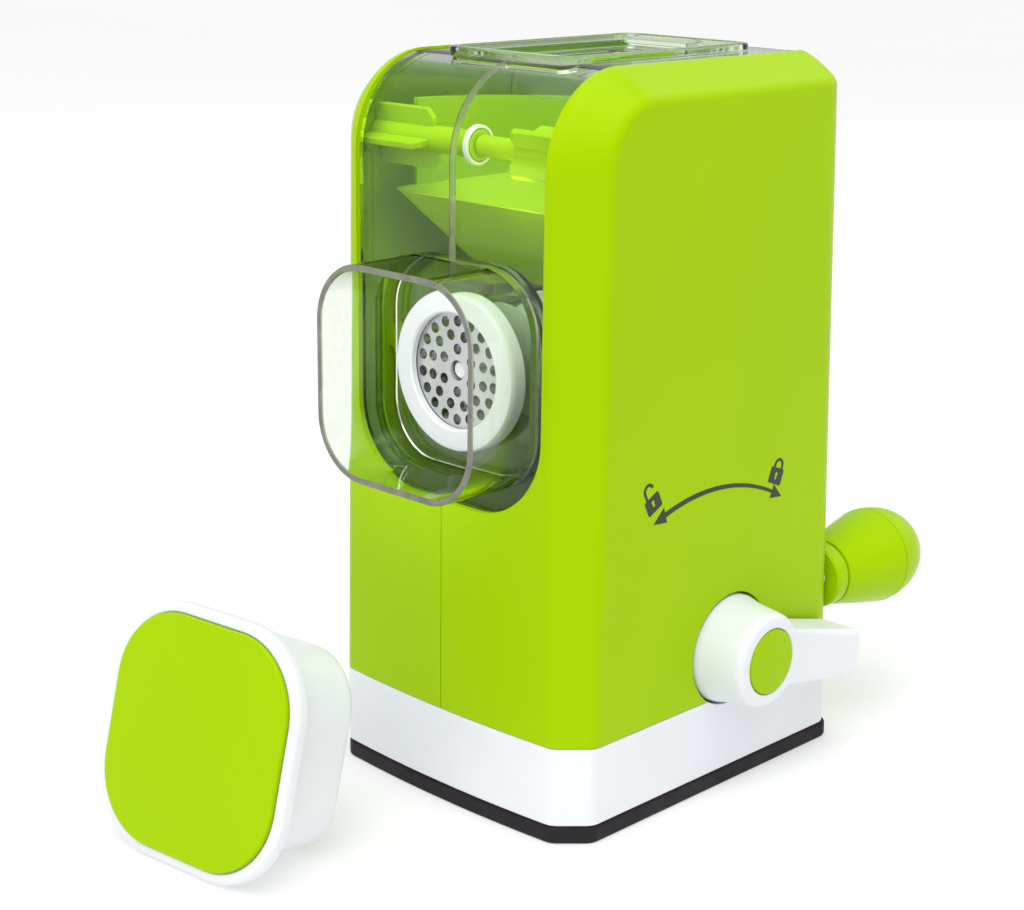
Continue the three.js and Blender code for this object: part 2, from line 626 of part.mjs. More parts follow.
function capBody() {
  const flange = prismY(roundedRect(CAP_FLANGE_HALF, CAP_FLANGE_HALF, 27.5), CAP_FACE, CAP_REAR, 6);
  const plug = prismY(roundedRect(CAP_PLUG_HALF, CAP_PLUG_HALF, 20), CAP_FACE + 2, CAP_DEPTH, 6);
  const hollow = prismY(roundedRect(CAP_PLUG_HALF - 2.4, CAP_PLUG_HALF - 2.4, 17.6), 4.5, CAP_DEPTH + 1, 6);
  const seat = prismY(roundedRect(CAP_PLATE_HALF + GAP, CAP_PLATE_HALF + GAP, 25), 0, 2.3, 6);
  return cut(flange.add(plug), hollow, seat);
}
const capPlate = () => prismY(roundedRect(CAP_PLATE_HALF, CAP_PLATE_HALF, 24.8), 0, 2, 6);

// ---- assembly -----------------------------------------------------------------------------

function named(name, material, made) {
  const { vertProperties, triVerts } = made.getMesh();
  const geometry = new THREE.BufferGeometry();
  geometry.setAttribute('position', new THREE.BufferAttribute(new Float32Array(vertProperties), 3));
  geometry.setIndex(new THREE.BufferAttribute(new Uint32Array(triVerts), 1));
  geometry.computeVertexNormals();
  const mesh = new THREE.Mesh(geometry, material);
  mesh.name = name;
  return mesh;
}

function machine() {
  const group = new THREE.Group();
  group.add(
    named('suction_pad', RUBBER, suctionPad()),
    named('base_housing', WHITE, baseHousing()),
    named('cam_bracket', WHITE, camBracket()),
    named('left_shell', GREEN, shell(-1)),
    named('right_shell', GREEN, shell(1)),
    named('left_cover', CLEAR, cover(-1)),
    named('right_cover', CLEAR, cover(1)),
    named('hopper_tray', CLEAR, hopperTray()),
    named('feed_funnel', GREEN, feedFunnel()),
    named('auger_barrel', CLEAR, augerBarrel()),
    named('outlet_spout', CLEAR, outletSpout()),
    named('outlet_ring', WHITE, outletRing()),
    named('grinding_plate', STEEL, grindingPlate()),
    named('shaft_bush', WHITE, shaftBush()),
    named('auger', WHITE, auger()),
    named('cross_blade', STEEL, crossBlade()),
    named('crank_shaft', STEEL, crankShaft()),
    named('crank_arm', GREEN, crankArm()),
    named('crank_nut', WHITE, crankNut()),
    named('knob_pin', STEEL, knobPin()),
    named('crank_knob', GREEN, crankKnob()),
    named('knob_end_cap', GREEN, knobEndCap()),
    named('left_paddle', GREEN, paddle(leftShaft(), -49, -21, 10)),
    named('right_paddle', GREEN, paddle(rightShaft(), 17.5, 49, 45)),
    named('paddle_collar', WHITE, paddleCollar()),
    named('paddle_axle', STEEL, paddleAxle()),
    named('suction_lever', WHITE, suctionLever()),
    named('lever_cap', GREEN, leverCap()),
    named('cam_shaft', STEEL, camShaft()),
    named('cam_yoke', WHITE, camYoke()),
    named('pull_stud', STEEL, pullStud()),
    named('suction_disc', RUBBER, suctionDisc()),
  );
  BASE_SCREWS.forEach(([x, y], i) => group.add(named(`base_screw_${i + 1}`, STEEL, baseScrew(x, y))));
  SHELL_SCREWS.forEach(([y, z], i) => group.add(named(`shell_screw_${i + 1}`, STEEL, shellScrew(y, z))));
  return group;
}

// The cap lies on the rim of its flange and the rear edge of its plug, face up towards the front.
function outletCap() {
  const tilt = Math.atan2(CAP_FLANGE_HALF - CAP_PLUG_HALF, CAP_DEPTH - CAP_REAR);
  const rise = CAP_FLANGE_HALF * Math.cos(tilt) + CAP_REAR * Math.sin(tilt);
  const cap = new THREE.Group();
  cap.rotation.set(-tilt, 0, THREE.MathUtils.degToRad(CAP_YAW), 'ZXY');
  cap.position.set(...CAP_CENTRE, rise);
  cap.add(named('cap_body', WHITE, capBody()), named('cap_plate', GREEN, capPlate()));
  return cap;
}

const grinder = new THREE.Group();
grinder.add(machine(), outletCap());
grinder.position.set(...ORIGIN.map((along) => -along), 0);

export default grinder;
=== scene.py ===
from math import atan2, cos, pi, radians, sin, sqrt

import bmesh
import bpy
from mathutils import Matrix, Vector

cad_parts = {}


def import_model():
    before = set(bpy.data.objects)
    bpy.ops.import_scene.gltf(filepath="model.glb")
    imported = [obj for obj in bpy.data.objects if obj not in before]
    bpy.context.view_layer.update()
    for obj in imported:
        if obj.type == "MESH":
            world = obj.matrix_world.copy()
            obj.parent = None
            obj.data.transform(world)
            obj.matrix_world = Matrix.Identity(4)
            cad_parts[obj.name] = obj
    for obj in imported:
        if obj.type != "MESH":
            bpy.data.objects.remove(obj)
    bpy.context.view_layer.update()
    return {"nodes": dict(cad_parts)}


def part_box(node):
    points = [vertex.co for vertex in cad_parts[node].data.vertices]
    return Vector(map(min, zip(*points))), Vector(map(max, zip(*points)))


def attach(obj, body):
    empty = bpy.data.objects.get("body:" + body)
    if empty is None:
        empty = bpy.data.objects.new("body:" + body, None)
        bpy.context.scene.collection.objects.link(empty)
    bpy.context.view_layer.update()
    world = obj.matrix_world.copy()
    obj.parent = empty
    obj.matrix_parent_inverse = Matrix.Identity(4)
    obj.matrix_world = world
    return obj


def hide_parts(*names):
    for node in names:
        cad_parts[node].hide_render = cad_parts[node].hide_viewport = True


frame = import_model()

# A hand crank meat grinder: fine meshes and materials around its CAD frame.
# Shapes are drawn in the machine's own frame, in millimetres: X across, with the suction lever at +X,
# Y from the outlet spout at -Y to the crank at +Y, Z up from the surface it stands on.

# ---- driving dimensions, as in the CAD -----------------------------------

GAP = 0.3
SEAM = 0.15  # half of the gap between the casing's two halves
WALL = 2.5
HALF_WIDTH = 60
FRONT = 68.1
CROWN = 3.3
BACK = 70.6
LEAN = 0.048
HEIGHT = 252
CORNER_R = 32
CORNER_START = HEIGHT - CORNER_R
EDGE_X, EDGE_X_TOP = 50, 46
SIDE_FRONT, SIDE_FRONT_TOP = 58.8, 57
SIDE_TOP = 243
SIDE_CORNER_R = 20
BACK_CORNER = 5
PAD_TOP = 6.2
PAD_LIP, PAD_CORNER = 2.6, 6
BASE_TOP = 34
FLOOR_LOW, FLOOR_TOP = 8.2, 10.7

WINDOW_HALF, WINDOW_LOW, WINDOW_R = 43.4, 108, 28
COVER_TOP, COVER_FRONT, COVER_WALL = 251.4, 68.1, 2.8
HOPPER_Y, HOPPER_HALF_X, HOPPER_HALF_Y, HOPPER_TOP = 2.8, 29.2, 47, 253.8
HOPPER_R = 7
THROAT_HALF_X, THROAT_HALF_Y = 17, 24
AXIS_Z = 151.5
BARREL_R, BARREL_BORE = 24, 21.5
BARREL_FRONT, BARREL_REAR = -64.2, 44
SLOT_X, SLOT_FRONT, SLOT_BACK = 14, -32, 26
FUNNEL_LOW, FUNNEL_TOP, FUNNEL_SKIRT = 178, 206, 235
SPOUT_HALF, SPOUT_R, SPOUT_WALL = 36.6, 21, 2.2
SPOUT_FRONT, SPOUT_BACK = -93.5, -57.8
PADDLE_Y, PADDLE_Z, PADDLE_R = -52, 224, 10
LEVER_Y, LEVER_Z, HUB_R, LEVER_CAP_R = 10.1, 51, 19.3, 11.5
DISC_R, DISC_LOW = 45, 4.5
CRANK_R, KNOB_X = 103.9, 50.5
KNOB_Z = AXIS_Z - sqrt(CRANK_R ** 2 - KNOB_X ** 2)
ARM_BACK, ARM_THICK, ARM_HUB_BACK = 69.6, 6.4, 68.5
PIN_HEAD = ARM_BACK + 2.4
KNOB_R, KNOB_SEAM, KNOB_END = 18, 104.5, 127.8
CAP_PLATE_HALF, CAP_FLANGE_HALF, CAP_PLUG_HALF = 38.2, 42, 34
CAP_FACE, CAP_REAR, CAP_DEPTH = 1.5, 6.5, 37
CAP_YAW = 5.7
CAP_CENTRE = (-21.5, -160.4)

# ---- the machine's frame in the row frame --------------------------------

MM = 0.001
base_low, base_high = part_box("base_housing")
MACHINE = Matrix.Translation(((base_low.x + base_high.x) / 2, base_low.y + (FRONT + CROWN) * MM, 0))
MACHINE = MACHINE @ Matrix.Scale(MM, 4)

CAP_TILT = atan2(CAP_FLANGE_HALF - CAP_PLUG_HALF, CAP_DEPTH - CAP_REAR)
CAP_RISE = CAP_FLANGE_HALF * cos(CAP_TILT) + CAP_REAR * sin(CAP_TILT)
CAP = MACHINE @ Matrix.Translation((*CAP_CENTRE, CAP_RISE))
CAP = CAP @ Matrix.Rotation(radians(CAP_YAW), 4, "Z") @ Matrix.Rotation(-CAP_TILT, 4, "X")

LEVER_AXIS = (0, LEVER_Y, LEVER_Z)
DISC_AXIS = (0, LEVER_Y, 0)
BUSH_AXIS = (0, 0, AXIS_Z)
KNOB_AXIS = (KNOB_X, 0, KNOB_Z)
PADDLE_AXIS = (0, PADDLE_Y, PADDLE_Z)
BASE_SCREWS = [(-44, -50), (44, -50), (-44, 52), (44, 52)]
SHELL_SCREWS = [(-50, 54), (-50, 94), (50, 56), (50.3, 214)]


def lerp(a, b, t):
    return a + (b - a) * t


def arc(cx, cy, radius, start, stop, steps):
    angles = [radians(lerp(start, stop, i / steps)) for i in range(steps + 1)]
    return [(cx + radius * cos(a), cy + radius * sin(a)) for a in angles]


# ---- mesh helpers --------------------------------------------------------

def to_object(name, bm, frame_matrix=MACHINE):
    """A new object from a bmesh drawn in the given frame, in millimetres."""
    bmesh.ops.remove_doubles(bm, verts=bm.verts, dist=1e-4)
    bmesh.ops.recalc_face_normals(bm, faces=bm.faces)
    bm.transform(frame_matrix)
    mesh = bpy.data.meshes.new(name)
    bm.to_mesh(mesh)
    bm.free()
    obj = bpy.data.objects.new(name, mesh)
    bpy.context.scene.collection.objects.link(obj)
    return obj


def skin(name, rings, closed=False, frame_matrix=MACHINE):
    """Skins rings of equal length. The ends are capped, or joined to each other if closed."""
    bm = bmesh.new()
    loops = [[bm.verts.new(p) for p in ring] for ring in rings]
    count = len(loops[0])
    pairs = list(zip(loops, loops[1:]))
    if closed:
        pairs.append((loops[-1], loops[0]))
    else:
        bm.faces.new(loops[0][::-1])
        bm.faces.new(loops[-1])
    for a, b in pairs:
        for i in range(count):
            j = (i + 1) % count
            bm.faces.new((a[i], a[j], b[j], b[i]))
    return to_object(name, bm, frame_matrix)


def turned(name, profile, axis, at=(0, 0, 0), steps=64, closed=False):
    """A profile of (radius, distance along the axis), turned about the axis through a point."""
    rings = []
    for radius, along in profile:
        ring = []
        for i in range(steps):
            a = 2 * pi * i / steps
            u, v = radius * cos(a), radius * sin(a)
            p = {"X": (along, u, v), "Y": (v, along, u), "Z": (u, v, along)}[axis]
            ring.append(tuple(c + o for c, o in zip(p, at)))
        rings.append(ring)
    return skin(name, rings, closed)


def rounded_rect(half_x, half_y, radius, steps=10):
    w, h = half_x - radius, half_y - radius
    points = []
    for x, y, start in [(w, -h, -90), (w, h, 0), (-w, h, 90), (-w, -h, 180)]:
        points += arc(x, y, radius, start, start + 90, steps)
    return points


def hull(name, points):
    """The convex solid around some points."""
    bm = bmesh.new()
    for p in points:
        bm.verts.new(p)
    made = bmesh.ops.convex_hull(bm, input=bm.verts)
    inner = [v for v in made["geom_interior"] if isinstance(v, bmesh.types.BMVert)]
    bmesh.ops.delete(bm, geom=inner, context="VERTS")
    bmesh.ops.dissolve_limit(bm, angle_limit=radians(1), verts=bm.verts, edges=bm.edges)
    return to_object(name, bm)


def block(x0, x1, y0, y1, z0, z1):
    """A box to cut or join with."""
    return hull("tool", [(x, y, z) for x in (x0, x1) for y in (y0, y1) for z in (z0, z1)])


def rod(axis, radius, start, stop, at, steps=32):
    """A round bar to cut or join with."""
    return turned("tool", [(radius, start), (radius, stop)], axis, at, steps)


def prism(name, outline, axis, low, high, frame_matrix=MACHINE):
    """A closed outline in the plane across the axis, extruded between two values along it."""
    place = {
        "X": lambda a, b, c: (c, a, b),
        "Y": lambda a, b, c: (a, c, b),
        "Z": lambda a, b, c: (a, b, c),
    }[axis]
    rings = [[place(a, b, c) for a, b in outline] for c in (low, high)]
    return skin(name, rings, False, frame_matrix)


def apply_modifiers(obj):
    graph = bpy.context.evaluated_depsgraph_get()
    made = bpy.data.meshes.new_from_object(obj.evaluated_get(graph))
    obj.modifiers.clear()
    obj.data = made


def combine(obj, operation, tools):
    """Cuts the tools from the object, or joins them to it, and uses them up."""
    for tool in tools:
        step = obj.modifiers.new("step", "BOOLEAN")
        step.operation = operation
        step.solver = "MANIFOLD"
        step.object = tool
        apply_modifiers(obj)
        bpy.data.objects.remove(tool)
    return obj


def cut(obj, *tools):
    return combine(obj, "DIFFERENCE", tools)


def join(obj, *tools):
    return combine(obj, "UNION", tools)


def soften(obj, width, segments=3, angle=40):
    """Rounds the edges sharper than the angle, by a width in millimetres."""
    step = obj.modifiers.new("round", "BEVEL")
    step.width = width * MM
    step.segments = segments
    step.limit_method = "ANGLE"
    step.angle_limit = radians(angle)
    step.miter_outer = "MITER_ARC"
    apply_modifiers(obj)


def tidy(obj, angle=35):
    """Smooth shading up to an angle, with large faces ruling their corners' normals."""
    obj.data.shade_smooth()
    obj.data.set_sharp_from_angle(angle=radians(angle))
    step = obj.modifiers.new("normals", "WEIGHTED_NORMAL")
    step.keep_sharp = True


# ---- materials -----------------------------------------------------------

def srgb(*levels):
    values = [v / 255 for v in levels]
    return [v / 12.92 if v <= 0.04045 else ((v + 0.055) / 1.055) ** 2.4 for v in values] + [1]


class Finish:
    """A material around one Principled shader, with short calls for the patterns it is fed."""

    def __init__(self, name):
        self.material = bpy.data.materials.new(name)
        self.material.use_nodes = True
        self.tree = self.material.node_tree
        self.shader = self.tree.nodes["Principled BSDF"]
        self.place = self.tree.nodes.new("ShaderNodeTexCoord").outputs["Object"]

    def link(self, source, target):
        self.tree.links.new(source, target)

    def noise(self, scale, detail=3, stretch=(1, 1, 1)):
        mapping = self.tree.nodes.new("ShaderNodeMapping")
        mapping.inputs["Scale"].default_value = stretch
        texture = self.tree.nodes.new("ShaderNodeTexNoise")
        texture.inputs["Scale"].default_value = scale
        texture.inputs["Detail"].default_value = detail
        self.link(self.place, mapping.inputs["Vector"])
        self.link(mapping.outputs["Vector"], texture.inputs["Vector"])
        return texture.outputs["Fac"]

    def colour(self, pattern, dark, light, start=0.3, stop=0.7):
        ramp = self.tree.nodes.new("ShaderNodeValToRGB")
        ramp.color_ramp.elements[0].position = start
        ramp.color_ramp.elements[1].position = stop
        ramp.color_ramp.elements[0].color = dark
        ramp.color_ramp.elements[1].color = light
        self.link(pattern, ramp.inputs["Fac"])
        self.link(ramp.outputs["Color"], self.shader.inputs["Base Color"])

    def roughness(self, pattern, low, high):
        span = self.tree.nodes.new("ShaderNodeMapRange")
        span.inputs["From Min"].default_value = 0.3
        span.inputs["From Max"].default_value = 0.7
        span.inputs["To Min"].default_value = low
        span.inputs["To Max"].default_value = high
        self.link(pattern, span.inputs["Value"])
        self.link(span.outputs["Result"], self.shader.inputs["Roughness"])

    def bump(self, pattern, strength, depth):
        node = self.tree.nodes.new("ShaderNodeBump")
        node.inputs["Strength"].default_value = strength
        node.inputs["Distance"].default_value = depth * MM
        self.link(pattern, node.inputs["Height"])
        self.link(node.outputs["Normal"], self.shader.inputs["Normal"])

    def lets_lamps_through(self, tint):
        """Lamps shine straight through, as they do through a thin clear wall."""
        path = self.tree.nodes.new("ShaderNodeLightPath")
        clear = self.tree.nodes.new("ShaderNodeBsdfTransparent")
        clear.inputs["Color"].default_value = tint
        mix = self.tree.nodes.new("ShaderNodeMixShader")
        self.link(path.outputs["Is Shadow Ray"], mix.inputs["Fac"])
        self.link(self.shader.outputs["BSDF"], mix.inputs[1])
        self.link(clear.outputs["BSDF"], mix.inputs[2])
        self.link(mix.outputs["Shader"], self.tree.nodes["Material Output"].inputs["Surface"])


def green_plastic():
    made = Finish("green_plastic")
    made.colour(made.noise(9, 2), srgb(160, 201, 1), srgb(165, 206, 3))
    made.roughness(made.noise(30, 4), 0.23, 0.27)
    made.bump(made.noise(900, 2), 0.05, 0.05)
    made.shader.inputs["IOR"].default_value = 1.22
    made.shader.inputs["Specular Tint"].default_value = (0.75, 1, 0.2, 1)
    return made.material


def white_plastic():
    made = Finish("white_plastic")
    made.colour(made.noise(14, 3), srgb(229, 232, 238), srgb(238, 240, 244))
    made.roughness(made.noise(40, 4), 0.30, 0.42)
    made.bump(made.noise(1100, 2), 0.05, 0.05)
    return made.material


def clear_plastic(name, bending):
    made = Finish(name)
    made.colour(made.noise(12, 2), srgb(238, 247, 232), srgb(246, 252, 241))
    made.roughness(made.noise(25, 3), 0.015, 0.05)
    made.bump(made.noise(55, 2, (1, 1, 0.4)), 0.08, 0.2)
    made.shader.inputs["Transmission Weight"].default_value = 1
    made.shader.inputs["IOR"].default_value = bending
    made.lets_lamps_through(srgb(250, 253, 248))
    return made.material


def painted_shade_edge():
    """The cut edges of the clear mouldings, a little frosted, and coloured grey as painted shade for the
    darkness that refraction gives them.
    """
    made = Finish("painted_shade_edge")
    made.colour(made.noise(200, 3), srgb(148, 150, 136), srgb(176, 178, 166))
    made.roughness(made.noise(60, 3), 0.18, 0.4)
    made.bump(made.noise(300, 2), 0.1, 0.05)
    made.shader.inputs["Transmission Weight"].default_value = 0.5
    made.shader.inputs["IOR"].default_value = 1.47
    made.lets_lamps_through(srgb(190, 194, 184))
    return made.material


def dark_rubber():
    made = Finish("dark_rubber")
    made.colour(made.noise(60, 4), srgb(20, 15, 22), srgb(32, 26, 34))
    made.shader.inputs["Specular IOR Level"].default_value = 0.3
    made.roughness(made.noise(90, 3), 0.55, 0.72)
    made.bump(made.noise(1300, 3), 0.25, 0.08)
    return made.material


def steel():
    made = Finish("steel")
    made.colour(made.noise(40, 4), srgb(186, 188, 190), srgb(212, 213, 214))
    made.roughness(made.noise(120, 4, (1, 12, 1)), 0.20, 0.38)
    made.bump(made.noise(500, 2, (1, 10, 1)), 0.08, 0.03)
    made.shader.inputs["Metallic"].default_value = 1
    return made.material


def dark_print():
    made = Finish("dark_print")
    made.colour(made.noise(700, 3), srgb(26, 36, 10), srgb(40, 50, 16))
    made.roughness(made.noise(200, 3), 0.35, 0.5)
    made.bump(made.noise(1500, 2), 0.1, 0.02)
    return made.material


GREEN, WHITE, PAINTED_SHADE_EDGE = green_plastic(), white_plastic(), painted_shade_edge()
CLEAR, CLEAR_THICK = clear_plastic("clear_plastic", 1.3), clear_plastic("clear_thick_plastic", 1.5)
RUBBER, STEEL, PRINT = dark_rubber(), steel(), dark_print()
SLOTS = {
    "green_plastic": GREEN, "white_plastic": WHITE, "clear_plastic": CLEAR,
    "dark_rubber": RUBBER, "steel": STEEL,
}


def finish_piece(obj, body, slot, *nodes, material=None, angle=35):
    """The last step of every piece: its shading, material, body and the CAD nodes it stands for."""
    tidy(obj, angle)
    obj.data.materials.clear()
    obj.data.materials.append(material or SLOTS[slot])
    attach(obj, body)
    if nodes:
        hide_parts(*nodes)


def paint_edge_shade(obj, axis, low, high):
    """Gives the faces between two values along an axis, in millimetres, the grey painted shade of a cut
    clear edge.
    """
    obj.data.materials.append(PAINTED_SHADE_EDGE)
    into = MACHINE.inverted()
    for face in obj.data.polygons:
        along = (into @ face.center)["XYZ".index(axis)]
        if low <= along <= high:
            face.material_index = 1


# ---- the casing's outer form ---------------------------------------------

def front_at(x):
    return -(FRONT + CROWN * (1 - (x / HALF_WIDTH) ** 2))


def back_at(z):
    return BACK - LEAN * z


def rounded_corner(before, corner, after, reach, steps=4):
    """Points that round a corner off, from reach before it to reach after it."""
    b, c, a = Vector(before), Vector(corner), Vector(after)
    start = c + (b - c).normalized() * reach
    stop = c + (a - c).normalized() * reach
    return [
        (1 - t) ** 2 * start + 2 * t * (1 - t) * c + t * t * stop
        for t in (i / steps for i in range(steps + 1))
    ]


def foot_outline(z, inset=0, lip=0, corner=BACK_CORNER):
    """The casing's plan below the shells' tops, its corners rounded, as (x, y) points."""
    rise = max(0, (z - BASE_TOP) / (CORNER_START - BASE_TOP))
    edge = lerp(EDGE_X, EDGE_X_TOP, rise) - inset * 0.4
    side = HALF_WIDTH - inset
    back = back_at(z) - inset + lip
    bevel = (edge, front_at(edge) + inset)
    side_front = (side, -lerp(SIDE_FRONT, SIDE_FRONT_TOP, rise) + inset * 0.4)
    crown = [(edge * t, front_at(edge * t) + inset) for t in (0.15, 0.35, 0.55, 0.75, 0.9)]
    back_mid = (side, back - corner)
    half = crown
    half += [tuple(p) for p in rounded_corner(crown[-1], bevel, side_front, 2.2)]
    half += [tuple(p) for p in rounded_corner(bevel, side_front, back_mid, 2.4)]
    half += arc(side - corner, back - corner, corner, 0, 90, 8)
    return half + [(-x, y) for x, y in reversed(half)]


def foot_band(name, levels, closed, *rear):
    """Skins the casing's plan through (height, inset) levels."""
    rings = [[(x, y, z) for x, y in foot_outline(z, inset, *rear)] for z, inset in levels]
    return skin(name, rings, closed)


def round_levels(low, high, radius, steps=3):
    """(height, inset) levels of a band with rounded lower and upper edges."""
    turns = [pi / 2 * i / steps for i in range(steps + 1)]
    lower = [(low + radius * (1 - sin(t)), radius * (1 - cos(t))) for t in reversed(turns)]
    upper = [(high - radius * (1 - sin(t)), radius * (1 - cos(t))) for t in turns]
    return lower + upper


REAR_ROUND = 3
REAR_EDGE = HALF_WIDTH - BACK_CORNER
REAR_DROP = HEIGHT - SIDE_TOP - 3.5
REAR_BULGE = 1.5
SIDE_BACK = back_at(SIDE_TOP) - BACK_CORNER


# The outline of one shell half is drawn as stations along its front, top and back. Each holds the
# section's points on the crowned face, at the face's edge, on the bevel and at the side face's rim,
# and the direction that lies inwards on the side face.

def crown_points(edge_x, at):
    """The section's points on the crowned face, from the middle to short of its edge."""
    return [at(edge_x * share) for share in (0.0, 0.2, 0.4, 0.6, 0.8)]


def front_stations(steps=10):
    for i in range(steps):
        t = i / steps
        z = lerp(BASE_TOP + GAP, CORNER_START, t)
        side_z = lerp(BASE_TOP + GAP, SIDE_TOP - SIDE_CORNER_R, t)
        edge_x = lerp(EDGE_X, EDGE_X_TOP, t)

        def at(x):
            return Vector((x, front_at(x), z))
        edge = at(edge_x)
        side = Vector((HALF_WIDTH, -lerp(SIDE_FRONT, SIDE_FRONT_TOP, t), side_z))
        yield crown_points(edge_x, at), edge, (edge + side) / 2, side, Vector((0, 1, 0))


def top_corner_stations(steps=24):
    side_centre = Vector((HALF_WIDTH, -SIDE_FRONT_TOP + SIDE_CORNER_R, SIDE_TOP - SIDE_CORNER_R))
    for i in range(steps + 1):
        a = radians(lerp(180, 90, i / steps))
        outward = Vector((0, cos(a), sin(a)))

        def at(x):
            return Vector((x, front_at(x) + CORNER_R, CORNER_START)) + outward * CORNER_R
        edge = at(EDGE_X_TOP)
        side = side_centre + outward * SIDE_CORNER_R
        yield crown_points(EDGE_X_TOP, at), edge, (edge + side) / 2, side, -outward


def top_stations(steps=4):
    for i in range(1, steps + 1):
        t = i / steps
        y = lerp(front_at(EDGE_X_TOP) + CORNER_R, back_at(HEIGHT) - REAR_ROUND, t)
        side_y = lerp(-SIDE_FRONT_TOP + SIDE_CORNER_R, SIDE_BACK - REAR_ROUND, t)

        def at(x):
            return Vector((x, y, HEIGHT))
        edge = at(EDGE_X_TOP)
        side = Vector((HALF_WIDTH, side_y, SIDE_TOP))
        yield crown_points(EDGE_X_TOP, at), edge, (edge + side) / 2, side, Vector((0, 0, -1))


def rear_corner_stations(steps=6):
    side_centre = Vector((HALF_WIDTH, SIDE_BACK - REAR_ROUND, SIDE_TOP - REAR_ROUND))
    for i in range(1, steps + 1):
        t = i / steps
        a = radians(lerp(90, 0, t))
        outward = Vector((0, cos(a), sin(a)))
        sunk, set_in = REAR_ROUND * (1 - sin(a)), REAR_ROUND * (1 - cos(a))
        edge_x = lerp(EDGE_X_TOP, REAR_EDGE, t)
        z = HEIGHT - REAR_DROP * t - sunk
        y = back_at(z) - set_in

        def at(x):
            return Vector((x, y, lerp(HEIGHT - sunk, z, x / edge_x)))
        edge = at(edge_x)
        side = side_centre + outward * REAR_ROUND
        bulge = Vector((HALF_WIDTH - REAR_BULGE, y - REAR_BULGE, (z + side.z) / 2))
        yield crown_points(edge_x, at), edge, ((edge + side) / 2).lerp(bulge, t), side, -outward


def back_stations(steps=8):
    for i in range(1, steps + 1):
        t = i / steps
        z = lerp(HEIGHT - REAR_DROP - REAR_ROUND, BASE_TOP + GAP, t)
        side_z = lerp(SIDE_TOP - REAR_ROUND, BASE_TOP + GAP, t)
        y, side_y = back_at(z), back_at(side_z)

        def at(x):
            return Vector((x, y, z))
        middle = Vector((HALF_WIDTH, (y + side_y) / 2, (z + side_z) / 2))
        middle -= Vector((REAR_BULGE, REAR_BULGE, 0))
        side = Vector((HALF_WIDTH, side_y - BACK_CORNER, side_z))
        yield crown_points(REAR_EDGE, at), at(REAR_EDGE), middle, side, Vector((0, -1, 0))


def shell_stations():
    yield from front_stations()
    yield from top_corner_stations()
    yield from top_stations()
    yield from rear_corner_stations()
    yield from back_stations()


def shell_skin(name):
    """The outer face of the right half, as one open sheet with a rounded bevel around its side."""
    bm = bmesh.new()
    rows = []
    for crown, edge, middle, side, inward in shell_stations():
        crown[0] = Vector((SEAM, crown[0].y, crown[0].z))
        points = list(crown)
        points += rounded_corner(crown[-1], edge, middle, 2.2)
        points += rounded_corner(edge, middle, side, 1.2, 3)
        points += rounded_corner(middle, side, side + inward * 9, 2.6)
        rows.append([bm.verts.new(p) for p in points])
    for a, b in zip(rows, rows[1:]):
        for i in range(len(a) - 1):
            bm.faces.new((a[i], a[i + 1], b[i + 1], b[i]))
    bm.faces.new([row[-1] for row in rows])
    return to_object(name, bm)


def window_tool(margin):
    half, low, radius = WINDOW_HALF + margin, WINDOW_LOW - margin, WINDOW_R + margin
    outline = [(half, 300), (-half, 300)]
    outline += arc(-half + radius, low + radius, radius, 180, 270, 20)
    outline += arc(half - radius, low + radius, radius, 270, 360, 20)
    return prism("tool", outline, "Y", -90, -40)


def mirror(obj):
    """Turns a piece of the right half into its left twin."""
    flip = Matrix.Translation((2 * MACHINE.translation.x, 0, 0)) @ Matrix.Scale(-1, 4, (1, 0, 0))
    obj.data.transform(flip)
    obj.data.flip_normals()


def casing_core(margin):
    """The solid within the right half's outer face, set in by a margin."""
    sheet = shell_skin("tool")
    into = MACHINE.inverted()
    points = [into @ (v.co - v.normal * margin * MM) for v in sheet.data.vertices]
    bpy.data.objects.remove(sheet)
    return hull("tool", points)


def shell(name, side):
    obj = shell_skin("green_" + name)
    walls = obj.modifiers.new("walls", "SOLIDIFY")
    walls.thickness = WALL * MM
    walls.offset = -1
    walls.use_even_offset = True
    apply_modifiers(obj)
    in_wall = HALF_WIDTH - WALL + 1
    roof_opening = block(-WINDOW_HALF, WINDOW_HALF, -64, 80, HEIGHT - 7, HEIGHT + 7)
    cut(obj, window_tool(0), roof_opening)
    soften(obj, 0.45, 2, 60)
    posts = [rod("X", 5.5, SEAM, in_wall, (0, y, z)) for y, z in SHELL_SCREWS]
    own_screws = [(x, y) for x, y in BASE_SCREWS if x > 0]
    feet = [rod("Z", 5, BASE_TOP + GAP, 60, (x, y, 0)) for x, y in own_screws]
    webs = [block(x, in_wall, y - 1.2, y + 1.2, BASE_TOP + 2, 60) for x, y in own_screws]
    rests = [
        block(BARREL_R + 0.6, in_wall, y - 1.5, y + 1.5, AXIS_Z - 4.5, AXIS_Z + 4.5)
        for y in (-41, 31)
    ]
    bush = combine(rod("X", 7, 50, in_wall, PADDLE_AXIS), "INTERSECT", [casing_core(1)])
    join(obj, *posts, *feet, *webs, *rests, bush)
    cut(obj, rod("X", 3.1, 40, 58, PADDLE_AXIS), rod("Y", 10.4, 40, 80, BUSH_AXIS, 48))
    cut(obj, *[rod("Z", 1.8, 0, 52, (x, y, 0)) for x, y in BASE_SCREWS if x > 0])
    if side > 0:
        cut(obj, *[rod("X", 1.6, -1, 14, (0, y, z)) for y, z in SHELL_SCREWS])
        cut(obj, rod("X", HUB_R + 1, 50, 70, LEVER_AXIS, 96))
    else:
        cut(obj, *[rod("X", 1.9, -1, 9, (0, y, z)) for y, z in SHELL_SCREWS])
        cut(obj, *[rod("X", 3.9, 8, 70, (0, y, z)) for y, z in SHELL_SCREWS])
        mirror(obj)
    finish_piece(obj, "housing", "green_plastic", name, angle=30)


for shell_name, shell_side in (("left_shell", -1), ("right_shell", 1)):
    shell(shell_name, shell_side)


# ---- base and suction ----------------------------------------------------

